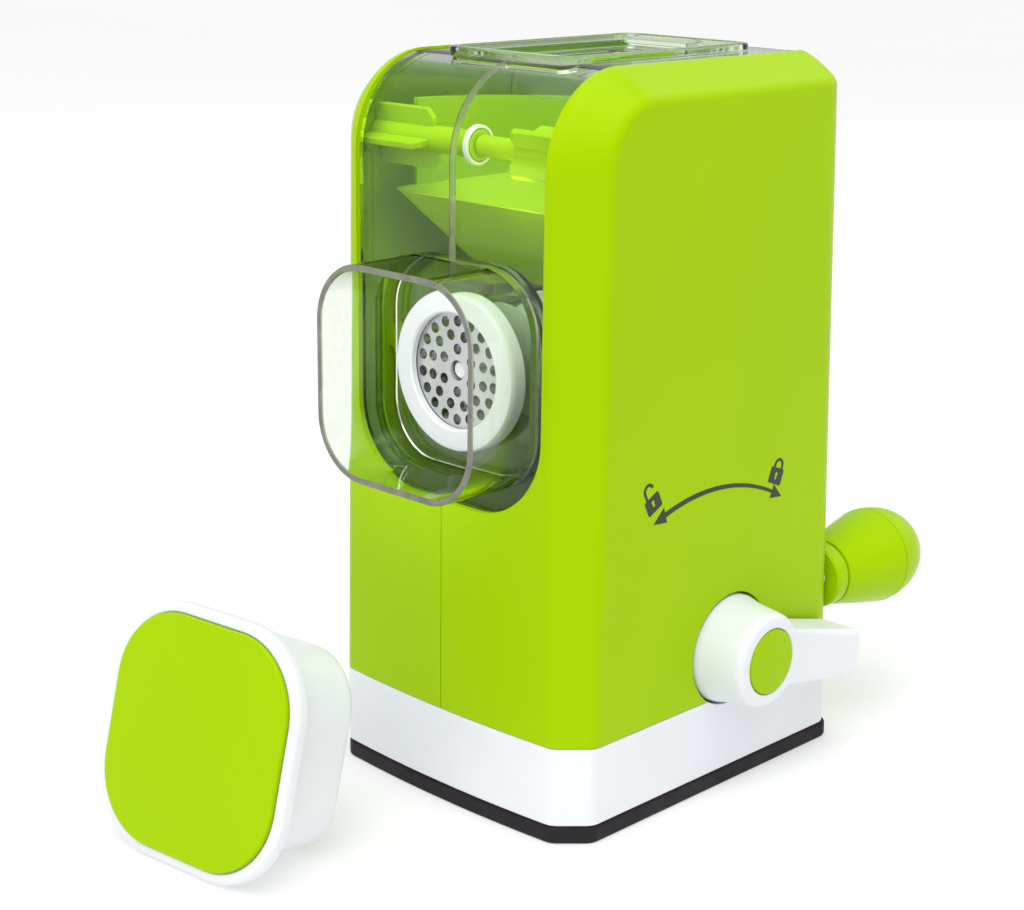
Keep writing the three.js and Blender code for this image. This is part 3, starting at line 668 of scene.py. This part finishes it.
def suction_pad():
    pad = foot_band("rubber_pad", round_levels(0, PAD_TOP, 1.1), False, PAD_LIP, PAD_CORNER)
    cut(pad, rod("Z", DISC_R + 1, -1, 9, DISC_AXIS, 96))
    finish_piece(pad, "housing", "dark_rubber", "suction_pad")


def base_housing():
    low, rim = PAD_TOP + GAP, 0.6
    outer = round_levels(low, BASE_TOP, rim)
    inner = [(BASE_TOP, WALL + 0.01), (FLOOR_TOP, WALL + 0.01)]
    base = foot_band("white_base", outer + inner, False)
    cut(base, foot_band("tool", [(PAD_TOP, WALL), (FLOOR_LOW, WALL)], False))
    posts = [rod("Z", 5, FLOOR_LOW + 1, BASE_TOP - 0.4, (x, y, 0)) for x, y in BASE_SCREWS]
    join(base, *posts)
    cut(base, *[rod("Z", 1.9, 0, BASE_TOP + 1, (x, y, 0)) for x, y in BASE_SCREWS])
    cut(base, *[rod("Z", 3.6, 0, FLOOR_LOW + 3, (x, y, 0)) for x, y in BASE_SCREWS])
    cut(base, rod("Z", 10.3, 0, 20, DISC_AXIS, 64), rod("X", HUB_R + 1, 50, 70, LEVER_AXIS, 96))
    finish_piece(base, "housing", "white_plastic", "base_housing", angle=30)


def suction_disc():
    profile = [
        (0, DISC_LOW + 0.6), (14, DISC_LOW + 0.5), (15, DISC_LOW), (17, DISC_LOW), (18, DISC_LOW + 0.5),
        (28, DISC_LOW + 0.5), (29, DISC_LOW), (31, DISC_LOW), (32, DISC_LOW + 0.5),
        (40, DISC_LOW + 0.4), (42, DISC_LOW), (DISC_R - 0.4, DISC_LOW), (DISC_R, DISC_LOW + 0.4),
        (DISC_R, DISC_LOW + 1.2), (DISC_R - 0.5, DISC_LOW + 1.6), (DISC_R - 8, DISC_LOW + 3),
        (10.5, DISC_LOW + 3), (9.5, DISC_LOW + 4), (9.5, 14.5), (9, 15), (4.6, 15), (4.3, 14.7),
        (4.3, 9.5), (0, 9.5),
    ]
    disc = turned("rubber_disc", profile, "Z", DISC_AXIS, 96)
    finish_piece(disc, "plunger", "dark_rubber", "suction_disc")


def suction_lever():
    seat, face = LEVER_CAP_R + GAP, 78
    hub_profile = [
        (5.1, 51), (HUB_R - 0.4, 51), (HUB_R, 51.4), (HUB_R, 60), (HUB_R - 0.65, 62.3),
        (HUB_R - 1.3, 65), (17.4, 70), (16.95, 74.2), (16.6, face - 2.1), (16.1, face - 1),
        (15.4, face - 0.3), (14.6, face), (seat + 0.25, face), (seat, face - 0.25), (seat, face - 2),
        (0, face - 2),
    ]
    hub = turned("white_lever", hub_profile + [(0, 68.5), (5.1, 68.5)], "X", LEVER_AXIS, 96, True)

    def section(y, low, high, bevel):
        return [
            (62, y, low), (62, y, high), (face - bevel, y, high), (face, y, high - bevel),
            (face, y, low + 1.2), (face - 1.2, y, low),
        ]
    arm = hull("tool", [
        *section(LEVER_Y + 5, 39.8, 61.4, 0.8), *section(61.2, 32.2, 49.3, 1.9),
        *section(62.2, 33.2, 48.3, 2.2),
    ])
    soften(arm, 0.7, 3, 15)
    cut(arm, rod("X", 14, 55, 90, LEVER_AXIS, 96))
    join(hub, arm)
    finish_piece(hub, "lever", "white_plastic", "suction_lever", angle=40)


def lever_cap():
    rim = LEVER_CAP_R
    profile = [
        (0, 76.3), (rim, 76.3), (rim, 77.9), (rim - 0.1, 78.2), (rim - 0.4, 78.4), (6, 78.55), (0, 78.6),
    ]
    cap = turned("green_lever_cap", profile, "X", LEVER_AXIS, 96)
    finish_piece(cap, "lever", "green_plastic", "lever_cap")


suction_pad()
base_housing()
suction_disc()
suction_lever()
lever_cap()


# ---- clear covers, hopper and outlet -------------------------------------

def cover_slab(offset, thickness, half, margin, back):
    radius = CORNER_R - 0.5 - offset
    front, top = -COVER_FRONT + offset, COVER_TOP - offset
    low = WINDOW_LOW - 8
    outline = [(front, low), *arc(front + radius, top - radius, radius, 180, 90, 28), (back, top)]
    outline += [(back, top - thickness)]
    outline += arc(front + radius, top - radius, radius - thickness, 90, 180, 28)
    outline += [(front + thickness, low)]
    slab = prism("clear_cover", outline, "X", SEAM, half)
    corners = block(-100, 100, -90, -30, low - 5, WINDOW_LOW + WINDOW_R)
    cut(corners, window_tool(margin))
    return cut(slab, corners)


def cover(name, side):
    back = back_at(COVER_TOP) - 0.6
    piece = cover_slab(0, COVER_WALL, WINDOW_HALF - GAP, -GAP, back)
    join(piece, cover_slab(2.3, 1.8, WINDOW_HALF + 1.4, 1.4, back - 4))
    reach = [size - 1.5 for size in (HOPPER_HALF_X, HOPPER_HALF_Y, HOPPER_R)]
    mouth = [(x, y + HOPPER_Y) for x, y in rounded_rect(*reach)]
    cut(piece, prism("tool", mouth, "Z", 200, 260))
    outlet = [(x, z + AXIS_Z) for x, z in rounded_rect(SPOUT_HALF + GAP, SPOUT_HALF + GAP, SPOUT_R, 20)]
    cut(piece, prism("tool", outlet, "Y", -80, -55))
    soften(piece, 0.35, 2, 60)
    if side < 0:
        mirror(piece)
    piece.name = "clear_" + name
    finish_piece(piece, "housing", "clear_plastic", name, angle=30)
    # The faces at the seam get the grey painted shade of a cut clear edge.
    paint_edge_shade(piece, "X", -0.6, 0.6)


def rect_band(name, levels, closed, axis="Z", centre=(0, 0), frame_matrix=MACHINE, steps=14):
    """Skins rounded rectangles of (half, half, corner radius, distance along the axis)."""
    rings = []
    for half_a, half_b, radius, along in levels:
        ring = rounded_rect(half_a, half_b, radius, steps)
        if axis == "Z":
            rings.append([(a + centre[0], b + centre[1], along) for a, b in ring])
        else:
            rings.append([(a + centre[0], along, b + centre[1]) for a, b in ring])
    return skin(name, rings, closed, frame_matrix)


def square(half, radius, inset, along):
    """A rounded square for rect_band, set in from its full size."""
    return (half - inset, half - inset, radius - inset, along)


def hopper_tray():
    top, shelf = HOPPER_TOP, COVER_TOP + GAP

    def rim(inset, z):
        return (HOPPER_HALF_X - inset, HOPPER_HALF_Y - inset, HOPPER_R - inset, z)

    def throat(grow, z):
        return (THROAT_HALF_X + grow, THROAT_HALF_Y + grow, 3 + grow, z)
    levels = [
        throat(0, 238), throat(0, 248.3), throat(0.3, 248.9), throat(0.9, 249.2), rim(5, 249.2),
        rim(4, 249.6), rim(3.6, 250.6), rim(3.6, top - 0.6), rim(3.4, top - 0.2), rim(3.0, top),
        rim(0.8, top), rim(0.25, top - 0.25), rim(0, top - 0.8), rim(0, shelf), rim(1.8, shelf),
        rim(1.8, 247), throat(1.8, 247), throat(1.8, 238),
    ]
    tray = rect_band("clear_hopper", levels, True, "Z", (0, HOPPER_Y), steps=10)
    finish_piece(tray, "housing", "clear_plastic", "hopper_tray", material=CLEAR_THICK, angle=40)


def feed_funnel():
    """A skirt round the feed chamber, narrowing to the barrel's slot."""
    def ring(half_x, front, back, radius, grow, z):
        half_y, middle = (back - front) / 2 + grow, (front + back) / 2
        outline = rounded_rect(half_x + grow, half_y, radius + grow, 6)
        return [(x, y + middle, z) for x, y in outline]

    def slot(grow):
        return ring(SLOT_X, SLOT_FRONT, SLOT_BACK, 2, grow, FUNNEL_LOW)

    def chamber(grow, z):
        return ring(42, -53, 42, 8, grow, z)
    inside = [slot(0), chamber(0, FUNNEL_TOP), chamber(0, FUNNEL_SKIRT)]
    outside = [chamber(2, FUNNEL_SKIRT), chamber(2, FUNNEL_TOP), slot(3)]
    funnel = skin("green_funnel", inside + outside, True)
    cut(funnel, block(-45, 45, -60, -41.5, FUNNEL_TOP, 240))
    soften(funnel, 0.3, 2, 60)
    finish_piece(funnel, "housing", "green_plastic", "feed_funnel", angle=40)


def auger_barrel():
    outer, bore = BARREL_R, BARREL_BORE
    profile = [
        (bore, BARREL_REAR - 3), (bore, BARREL_FRONT + 0.3), (bore + 0.3, BARREL_FRONT),
        (outer - 0.3, BARREL_FRONT), (outer, BARREL_FRONT + 0.3), (outer, BARREL_REAR - 0.5),
        (outer - 0.5, BARREL_REAR), (8.3, BARREL_REAR), (8, BARREL_REAR - 0.3), (8, BARREL_REAR - 3),
    ]
    barrel = turned("clear_barrel", profile, "Y", BUSH_AXIS, 96, True)
    x, front, back = SLOT_X + WALL, SLOT_FRONT - WALL, SLOT_BACK + WALL
    join(barrel, block(-x, x, front, back, AXIS_Z + 18, FUNNEL_LOW - GAP))
    feed_slot = block(-SLOT_X, SLOT_X, SLOT_FRONT, SLOT_BACK, AXIS_Z, 190)
    cut(barrel, feed_slot, rod("Y", bore, BARREL_FRONT - 1, 41, BUSH_AXIS, 96))
    finish_piece(barrel, "housing", "clear_plastic", "auger_barrel", angle=40)


def outlet_spout():
    wall, lip = SPOUT_WALL, 0.7

    def level(inset, y):
        return square(SPOUT_HALF, SPOUT_R, inset, y)
    levels = [
        level(0, SPOUT_BACK), level(0, -66.2), level(0, SPOUT_FRONT + lip),
        level(lip * 0.3, SPOUT_FRONT + lip * 0.3), level(lip, SPOUT_FRONT),
        level(wall - lip, SPOUT_FRONT), level(wall - lip * 0.3, SPOUT_FRONT + lip * 0.3),
        level(wall, SPOUT_FRONT + lip), level(wall, SPOUT_BACK - wall - 1.5),
        level(wall + 0.6, SPOUT_BACK - wall - 0.4), level(wall + 1.5, SPOUT_BACK - wall),
    ]
    spout = rect_band("clear_spout", levels, False, "Y", (0, AXIS_Z), steps=18)
    cut(spout, rod("Y", BARREL_R + GAP, -70, -50, BUSH_AXIS, 96))
    finish_piece(spout, "housing", "clear_plastic", "outlet_spout", material=CLEAR_THICK, angle=40)
    # The spout's front rim gets the grey painted shade of a cut clear edge.
    paint_edge_shade(spout, "Y", SPOUT_FRONT - 1, SPOUT_FRONT + 0.6)


def outlet_ring():
    profile = [
        (19.5, -66.4), (20.1, -67), (25.4, -67), (26.4, -66.7), (26.9, -65.8), (27, -64.8), (27, -60.7),
        (26.7, -60.4), (BARREL_R + GAP, -60.4), (BARREL_R + GAP, -64.5), (19.5, -64.5),
    ]
    ring = turned("white_outlet_ring", profile, "Y", BUSH_AXIS, 96, True)
    finish_piece(ring, "housing", "white_plastic", "outlet_ring")


for cover_name, cover_side in (("left_cover", -1), ("right_cover", 1)):
    cover(cover_name, cover_side)
hopper_tray()
feed_funnel()
auger_barrel()
outlet_spout()
outlet_ring()


# ---- crank, auger and blades ---------------------------------------------

def grinding_plate():
    radius, front, rear, edge = BARREL_BORE - GAP, BARREL_FRONT, -61.2, 0.25
    profile = [
        (3.4, front), (radius - edge, front), (radius, front + edge), (radius, rear - edge),
        (radius - edge, rear), (3.4, rear),
    ]
    plate = turned("steel_plate", profile, "Y", BUSH_AXIS, 96, True)
    for count, reach in ((6, 7.2), (12, 12), (18, 16.6)):
        for i in range(count):
            a = 2 * pi * (i + 0.5) / count
            cut(plate, rod("Y", 1.8, -70, -50, (reach * cos(a), 0, AXIS_Z + reach * sin(a)), 24))
    finish_piece(plate, "housing", "steel", "grinding_plate", angle=30)


def cross_blade():
    reach, front, rear = BARREL_BORE - 1.2, -60.9, -58.4
    blade = turned("steel_blade", [(0, front), (6.5, front), (6.5, rear), (0, rear)], "Y", BUSH_AXIS, 64)
    for turn in range(4):
        a = turn * pi / 2
        along, across = (cos(a), sin(a)), (-sin(a), cos(a))
        corners = [(0, -3.2), (reach, -3.2), (reach, 2.2), (0, 3.2)]
        outline = [
            (u * along[0] + v * across[0], AXIS_Z + u * along[1] + v * across[1]) for u, v in corners
        ]
        join(blade, prism("tool", outline, "Y", front, rear))
    cut(blade, rod("Y", 3.3, -70, -50, BUSH_AXIS, 48))
    soften(blade, 0.25, 2, 50)
    finish_piece(blade, "crank", "steel", "cross_blade")


def auger():
    """One flight wound round a tapering core."""
    front, rear, turns, root = -57.9, 38, 3.2, 3
    reach, half_thick, steps = BARREL_BORE - 0.9, 2.25, 220
    rings = []
    for i in range(steps + 1):
        t = i / steps
        y = lerp(front, rear, t)
        a = 2 * pi * turns * (t - 0.5)
        section = [
            (root, -half_thick), (reach - 0.8, -half_thick), (reach, -half_thick + 0.8),
            (reach, half_thick - 0.8), (reach - 0.8, half_thick), (root, half_thick),
        ]
        rings.append([
            (x * cos(a) + z * sin(a), y, z * cos(a) - x * sin(a) + AXIS_Z) for x, z in section
        ])
    flight = skin("white_auger", rings)
    core = turned("tool", [(0, front), (6, front), (8.5, rear - 8), (8.5, rear), (0, rear)], "Y", BUSH_AXIS)
    nose = turned("tool", [(0, -63), (2.4, -63), (3, -62.4), (3, front + 1), (0, front + 1)], "Y", BUSH_AXIS)
    join(flight, core, nose)
    cut(flight, rod("Y", 5.3, 24, 50, BUSH_AXIS, 48))
    finish_piece(flight, "crank", "white_plastic", "auger", angle=40)


def crank_shaft():
    end = ARM_BACK + ARM_THICK + 4
    profile = [(0, 24.5), (4.6, 24.5), (5, 24.9), (5, end - 0.5), (4.5, end), (0, end)]
    finish_piece(turned("steel_shaft", profile, "Y", BUSH_AXIS), "crank", "steel", "crank_shaft")


def shaft_bush():
    face = back_at(AXIS_Z - 16) + GAP
    profile = [
        (5.3, 47), (9.7, 47), (10, 47.3), (10, face), (16, face + 0.9), (16, face + 2.2), (15.7, face + 2.9),
        (15, face + 3.4), (14, face + 3.6), (5.3, face + 3.6),
    ]
    bush = turned("white_bush", profile, "Y", BUSH_AXIS, 96, True)
    finish_piece(bush, "housing", "white_plastic", "shaft_bush")


def crank_arm():
    y0, y1 = ARM_BACK, ARM_BACK + ARM_THICK
    heading = atan2(KNOB_Z - AXIS_Z, KNOB_X)

    def outline(inset):
        near, far = 9 - inset, 7 - inset
        points = []
        for i in range(13):
            a = heading + pi / 2 + pi * i / 12
            points.append((near * cos(a), AXIS_Z + near * sin(a)))
        for i in range(13):
            a = heading - pi / 2 + pi * i / 12
            points.append((KNOB_X + far * cos(a), KNOB_Z + far * sin(a)))
        return points
    rings = []
    front_edge = [(1.2, y0), (0.35, y0 + 0.35), (0, y0 + 1.2)]
    back_edge = [(0, y1 - 1.2), (0.35, y1 - 0.35), (1.2, y1)]
    for inset, y in front_edge + back_edge:
        rings.append([(x, y, z) for x, z in outline(inset)])
    arm = skin("green_crank_arm", rings)
    boss = [(12.5, ARM_HUB_BACK), (13, ARM_HUB_BACK + 0.5), (13, y1 + 0.5), (12, y1 + 1.5)]
    end = [(11.2, y0), (12, y0 + 0.8), (12, y1 - 0.8), (11.7, y1 - 0.2), (11.2, y1)]
    join(arm, turned("tool", boss, "Y", BUSH_AXIS, 96), turned("tool", end, "Y", KNOB_AXIS, 96))
    cut(arm, rod("Y", 5.3, 60, 90, BUSH_AXIS, 48), rod("Y", 3.4, 60, 90, KNOB_AXIS, 48))
    cut(arm, rod("Y", 5.8, 60, PIN_HEAD, KNOB_AXIS, 48))
    finish_piece(arm, "crank", "green_plastic", "crank_arm", angle=40)


def crank_nut():
    low = ARM_BACK + ARM_THICK + 1.8
    nut = turned("white_nut", [(9, low), (9, low + 4), (6.5, low + 7)], "Y", BUSH_AXIS, 6)
    cut(nut, rod("Y", 5.3, 70, low + 2.6, BUSH_AXIS, 48))
    soften(nut, 0.6, 3, 20)
    finish_piece(nut, "crank", "white_plastic", "crank_nut")


def knob_pin():
    seam, back = KNOB_SEAM, ARM_BACK + GAP
    profile = [
        (0, back), (5, back), (5.5, back + 0.4), (5.5, PIN_HEAD - GAP), (3.1, PIN_HEAD - GAP),
        (3.1, seam - 5.5), (5.6, seam - 5.5), (6, seam - 5.1), (6, seam - 2.9), (5.6, seam - 2.5),
        (0, seam - 2.5),
    ]
    finish_piece(turned("steel_pin", profile, "Y", KNOB_AXIS), "crank", "steel", "knob_pin")


def crank_knob():
    start, room = ARM_BACK + ARM_THICK + 0.6, KNOB_SEAM - 6.1
    steps, foot = 14, 12.4

    def flare(t):
        grown = lerp(foot, KNOB_R, t * (1.15 - 0.15 * t))
        return (grown, lerp(start + 0.8, KNOB_SEAM - 0.35, t))
    sides = [flare(i / steps) for i in range(steps + 1)]
    profile = [
        (3.5, start), (foot - 0.8, start), (foot - 0.25, start + 0.25), *sides,
        (KNOB_R - 0.3, KNOB_SEAM), (7, KNOB_SEAM), (7, room), (3.5, room),
    ]
    knob = turned("green_knob", profile, "Y", KNOB_AXIS, 96, True)
    finish_piece(knob, "knob", "green_plastic", "crank_knob")


def knob_end_cap():
    foot = KNOB_SEAM + GAP
    dome = [(KNOB_R * c, foot + 0.35 + (KNOB_END - foot - 0.35) * s) for c, s in arc(0, 0, 1, 0, 90, 16)]
    profile = [(0, foot), (KNOB_R - 0.35, foot), *dome]
    cap = turned("green_knob_end", profile, "Y", KNOB_AXIS, 96)
    finish_piece(cap, "knob", "green_plastic", "knob_end_cap")


grinding_plate()
cross_blade()
auger()
crank_shaft()
shaft_bush()
crank_arm()
crank_nut()
knob_pin()
crank_knob()
knob_end_cap()


# ---- feed paddle ---------------------------------------------------------

def paddle(name, shaft, inner, outer, turn):
    """Two crossed fins on a shaft, with the corners at their inner ends cut off."""
    made = turned("green_" + name, shaft, "X", PADDLE_AXIS, 64)
    slope = 2.5 if outer > inner else -2.5
    reach, half_thick = PADDLE_R, 1.1
    outline = [
        (outer, -reach), (outer, reach), (inner + slope, reach), (inner, reach - 3.2),
        (inner, 3.2 - reach), (inner + slope, -reach),
    ]
    for angle in (turn, turn + 90):
        place = MACHINE @ Matrix.Translation(PADDLE_AXIS) @ Matrix.Rotation(radians(angle), 4, "X")
        fin = prism("tool", outline, "Z", -half_thick, half_thick, place)
        soften(fin, 0.4, 2, 30)
        join(made, fin)
    cut(made, rod("X", 2.3, -60, 60, PADDLE_AXIS))
    finish_piece(made, "paddle", "green_plastic", name, angle=40)


# A thin white ring round the green collar on the left shaft: a painted highlight, standing for the bright
# glint on the collar's rim.
def paddle_collar():
    profile = [
        (5.3, -2.8), (5.5, -3), (6.1, -3), (6.4, -2.7), (6.4, -1.1), (6.1, -0.8), (5.5, -0.8), (5.3, -1),
    ]
    collar = turned("collar_painted_highlight", profile, "X", PADDLE_AXIS, 64, True)
    finish_piece(collar, "paddle", "white_plastic", "paddle_collar")


def paddle_axle():
    profile = [(0, -56.5), (1.7, -56.5), (2, -56.2), (2, 56.2), (1.7, 56.5), (0, 56.5)]
    axle = turned("steel_axle", profile, "X", PADDLE_AXIS, 40)
    finish_piece(axle, "paddle", "steel", "paddle_axle")


LEFT_SHAFT = [(4.1, -49), (4.4, -48.7), (4.4, -3.4), (5, -3.2), (5, -0.9), (4.7, -0.6)]
RIGHT_SHAFT = [(3.1, -0.2), (3.4, 0.1), (3.4, 48.7), (3.1, 49)]
paddle("left_paddle", LEFT_SHAFT, -21, -49, 10)
paddle("right_paddle", RIGHT_SHAFT, 17.5, 49, 45)
paddle_collar()
paddle_axle()


# ---- outlet cap ----------------------------------------------------------

def cap_body():
    def recess(inset, y):
        return square(CAP_PLATE_HALF + GAP, 25, inset, y)

    def flange(inset, y):
        return square(CAP_FLANGE_HALF, 27.5, inset, y)

    def plug(inset, y):
        return square(CAP_PLUG_HALF, 20, inset, y)
    levels = [
        recess(0, 2.3), recess(0, CAP_FACE + 0.3), recess(-0.3, CAP_FACE), flange(1.8, CAP_FACE),
        flange(0.9, CAP_FACE + 0.25), flange(0.25, CAP_FACE + 0.9), flange(0, CAP_FACE + 1.8),
        flange(0, CAP_REAR - 0.8), flange(0.25, CAP_REAR - 0.25), flange(0.8, CAP_REAR),
        plug(-0.5, CAP_REAR), plug(0, CAP_REAR + 0.5), plug(0, CAP_DEPTH - 3),
        plug(0.4, CAP_DEPTH - 1.2), plug(1.2, CAP_DEPTH - 0.2), plug(1.6, CAP_DEPTH),
        plug(2.2, CAP_DEPTH - 0.2), plug(2.4, CAP_DEPTH - 0.6), plug(2.4, 5.3), plug(3.2, 4.5),
    ]
    body = rect_band("white_cap", levels, False, "Y", (0, 0), CAP, 18)
    finish_piece(body, "outlet_cap", "white_plastic", "cap_body")


def cap_plate():
    edge = ((0, 2), (0, 0.5), (0.15, 0.2), (0.5, 0))
    levels = [square(CAP_PLATE_HALF, 24.8, inset, y) for inset, y in edge]
    plate = rect_band("green_cap_plate", levels, False, "Y", (0, 0), CAP, 18)
    finish_piece(plate, "outlet_cap", "green_plastic", "cap_plate")


cap_body()
cap_plate()


# ---- screws --------------------------------------------------------------

def screw(name, node, head, axis, at, head_at, tip_at, thread_r):
    """A cross-recessed pan-head screw: its head's outer face is at head_at, its end at tip_at."""
    way = 1 if tip_at > head_at else -1
    under_head = head_at + way * 2.1
    slot_half, slot_reach = 0.45, head * 0.55
    profile = [
        (0, head_at), (slot_reach, head_at), (head * 0.85, head_at + way * 0.25),
        (head, head_at + way * 0.9), (head, under_head), (thread_r, under_head),
        (thread_r, tip_at - way * 1.5), (0.2, tip_at),
    ]
    made = turned(name, profile, axis, at, 40)
    depth = sorted((head_at - way * 0.5, head_at + way * 1.1))
    for half_u, half_v in ((slot_half, slot_reach), (slot_reach, slot_half)):
        if axis == "X":
            across = (at[1] - half_u, at[1] + half_u, at[2] - half_v, at[2] + half_v)
            cut(made, block(*depth, *across))
        else:
            across = (at[0] - half_u, at[0] + half_u, at[1] - half_v, at[1] + half_v)
            cut(made, block(*across, *depth))
    finish_piece(made, "housing", "steel", node, angle=30)


for number, (x, y) in enumerate(BASE_SCREWS, 1):
    node = f"base_screw_{number}"
    screw("steel_" + node, node, 3.2, "Z", (x, y, 0), FLOOR_LOW + 0.6, BASE_TOP + 12, 1.5)
for number, (y, z) in enumerate(SHELL_SCREWS, 1):
    node = f"shell_screw_{number}"
    screw("steel_" + node, node, 3.4, "X", (0, y, z), -11, 11, 1.3)


# ---- printed marks on the lever's side -----------------------------------

PRINT_SPAN = (HALF_WIDTH - 0.05, HALF_WIDTH + 0.08)


def arrow():
    """A two-headed arc that shows which way the lever turns."""
    centre, radius, start, stop = (-3.6, 33), 78.2, 112.2, 60.3
    head = 4.6

    def at(angle, reach):
        return (centre[0] + reach * cos(radians(angle)), centre[1] + reach * sin(radians(angle)))
    left, right = start - head, stop + head
    left_half, right_half, left_barb, right_barb = 0.95, 0.6, 2.9, 2.5
    steps = 40
    shares = [i / steps for i in range(steps + 1)]
    outer = [at(lerp(left, right, t), radius + lerp(left_half, right_half, t)) for t in shares]
    inner = [at(lerp(right, left, t), radius - lerp(right_half, left_half, t)) for t in shares]
    outline = [*outer, at(right, radius + right_barb), at(stop, radius), at(right, radius - right_barb)]
    outline += [*inner, at(left, radius - left_barb), at(start, radius), at(left, radius + left_barb)]
    mark = prism("printed_arrow", outline, "X", *PRINT_SPAN)
    finish_piece(mark, "housing", "dark_rubber", material=PRINT)


def padlock(name, centre, turn, is_open):
    """A plain padlock sign: a rounded body with its shackle closed or swung up."""
    matrix = MACHINE @ Matrix.Translation((0, *centre)) @ Matrix.Rotation(radians(turn), 4, "X")
    body = prism(name, rounded_rect(3.7, 2.9, 0.7, 4), "X", *PRINT_SPAN, matrix)
    lift = 1.6 if is_open else 0
    outer = [(2.6, 2.2 + lift), *arc(0, 3.8 + lift, 2.6, 0, 180, 12), (-2.6, 2.2)]
    inner = [(-1.5, 2.2), *arc(0, 3.8 + lift, 1.5, 180, 0, 12), (1.5, 2.2 + lift)]
    if is_open:
        outer[0], inner[-1] = (2.6, 3.8 + lift), (1.5, 3.8 + lift)
    join(body, prism("tool", outer + inner, "X", *PRINT_SPAN, matrix))
    keyhole = [(0.55, -1.2), (0.4, 0.1), *arc(0, 0.6, 0.75, -50, 230, 12), (-0.4, 0.1), (-0.55, -1.2)]
    cut(body, prism("tool", keyhole, "X", HALF_WIDTH - 1, HALF_WIDTH + 1, matrix))
    finish_piece(body, "housing", "dark_rubber", material=PRINT)


arrow()
padlock("printed_open_lock", (-33.5, 112.6), 27, True)
padlock("printed_closed_lock", (31.5, 109.0), -22, False)


# ---- the CAD nodes that keep their own shape -----------------------------

for node_name, finish in (
    ("cam_bracket", WHITE), ("cam_yoke", WHITE), ("cam_shaft", STEEL), ("pull_stud", STEEL),
):
    node_object = frame["nodes"][node_name]
    node_object.data.materials.clear()
    node_object.data.materials.append(finish)


# ---- floor, light and camera ---------------------------------------------

WORLD_STRENGTH = 0.58
FLOOR_HALF, FLOOR_GLOW = 14, 0.42
AREA_LIGHTS = (  # name, place, size and power
    ("front_light", (-0.5, -1.4, 1.1), 1.1, 3),
    ("top_light", (0.2, -0.1, 1.7), 1.2, 9),
    ("back_light", (0.3, 1.6, 1.0), 1.4, 3),
)
GLOWS = (("chamber_glow", (12, -30, 233)), ("outlet_glow", (24, -60, 214)))
SKY_DIRECTION = (-0.4, 0.6, -1)
OBJECT_MIDDLE = Vector((0, 0, 0.12))


def world():
    scene = bpy.context.scene
    scene.view_settings.view_transform = "Standard"
    studio = bpy.data.worlds.new("studio")
    studio.use_nodes = True
    background = studio.node_tree.nodes["Background"]
    background.inputs["Color"].default_value = (1, 1, 1, 1)
    background.inputs["Strength"].default_value = WORLD_STRENGTH
    scene.world = studio


def floor():
    bm = bmesh.new()
    bmesh.ops.create_grid(bm, x_segments=8, y_segments=8, size=FLOOR_HALF)
    mesh = bpy.data.meshes.new("floor")
    bm.to_mesh(mesh)
    bm.free()
    plane = bpy.data.objects.new("floor", mesh)
    bpy.context.scene.collection.objects.link(plane)
    made = Finish("floor")
    made.colour(made.noise(0.7, 2), srgb(196, 196, 197), srgb(200, 200, 200))
    made.shader.inputs["Emission Color"].default_value = (1, 1, 1, 1)
    made.shader.inputs["Emission Strength"].default_value = FLOOR_GLOW
    made.shader.inputs["Roughness"].default_value = 0.9
    made.shader.inputs["Specular IOR Level"].default_value = 0.1
    plane.data.materials.append(made.material)


def light(name, kind, place=(0, 0, 0), direction=None):
    """A new lamp's object and its settings."""
    lamp = bpy.data.lights.new(name, kind)
    lamp_object = bpy.data.objects.new(name, lamp)
    lamp_object.location = place
    if direction is not None:
        lamp_object.rotation_euler = direction.to_track_quat("-Z", "Y").to_euler()
    bpy.context.scene.collection.objects.link(lamp_object)
    return lamp_object, lamp


def lights():
    for name, place, size, power in AREA_LIGHTS:
        _, lamp = light(name, "AREA", place, OBJECT_MIDDLE - Vector(place))
        lamp.shape = "SQUARE"
        lamp.size = size
        lamp.energy = power
    # The soft light that thin green walls would pass on into the feed chamber.
    for name, place in GLOWS:
        glow_object, glow = light(name, "POINT", MACHINE @ Vector(place))
        glow.energy = 0.02
        glow.color = (1, 0.86, 0.35)
        glow.shadow_soft_size = 0.012
        glow_object.visible_camera = False
        glow_object.visible_glossy = False
        glow_object.visible_transmission = False
    _, sky = light("sky_light", "SUN", direction=Vector(SKY_DIRECTION))
    sky.energy = 1.3
    sky.angle = radians(50)


CAMERA_PLACE = (473.77, -523.60, 311.04)
CAMERA_RIGHT = Vector((0.7133, 0.7007, 0.0121))
CAMERA_UP = Vector((-0.2006, 0.1875, 0.9616))
FOCAL_LENGTH, SENSOR_WIDTH = 72.58, 36


def camera():
    """The photograph's own view: its camera's right, up and back directions and its place."""
    back = CAMERA_RIGHT.cross(CAMERA_UP)
    place = MACHINE @ Vector(CAMERA_PLACE)
    lens = bpy.data.cameras.new("camera")
    lens.sensor_fit = "HORIZONTAL"
    lens.sensor_width = SENSOR_WIDTH
    lens.lens = FOCAL_LENGTH
    lens.clip_start = 0.01
    view = bpy.data.objects.new("camera", lens)
    axes = Matrix((CAMERA_RIGHT, CAMERA_UP, back)).transposed()
    view.matrix_world = Matrix.Translation(place) @ axes.to_4x4()
    bpy.context.scene.collection.objects.link(view)
    bpy.context.scene.camera = view


world()
floor()
lights()
camera()
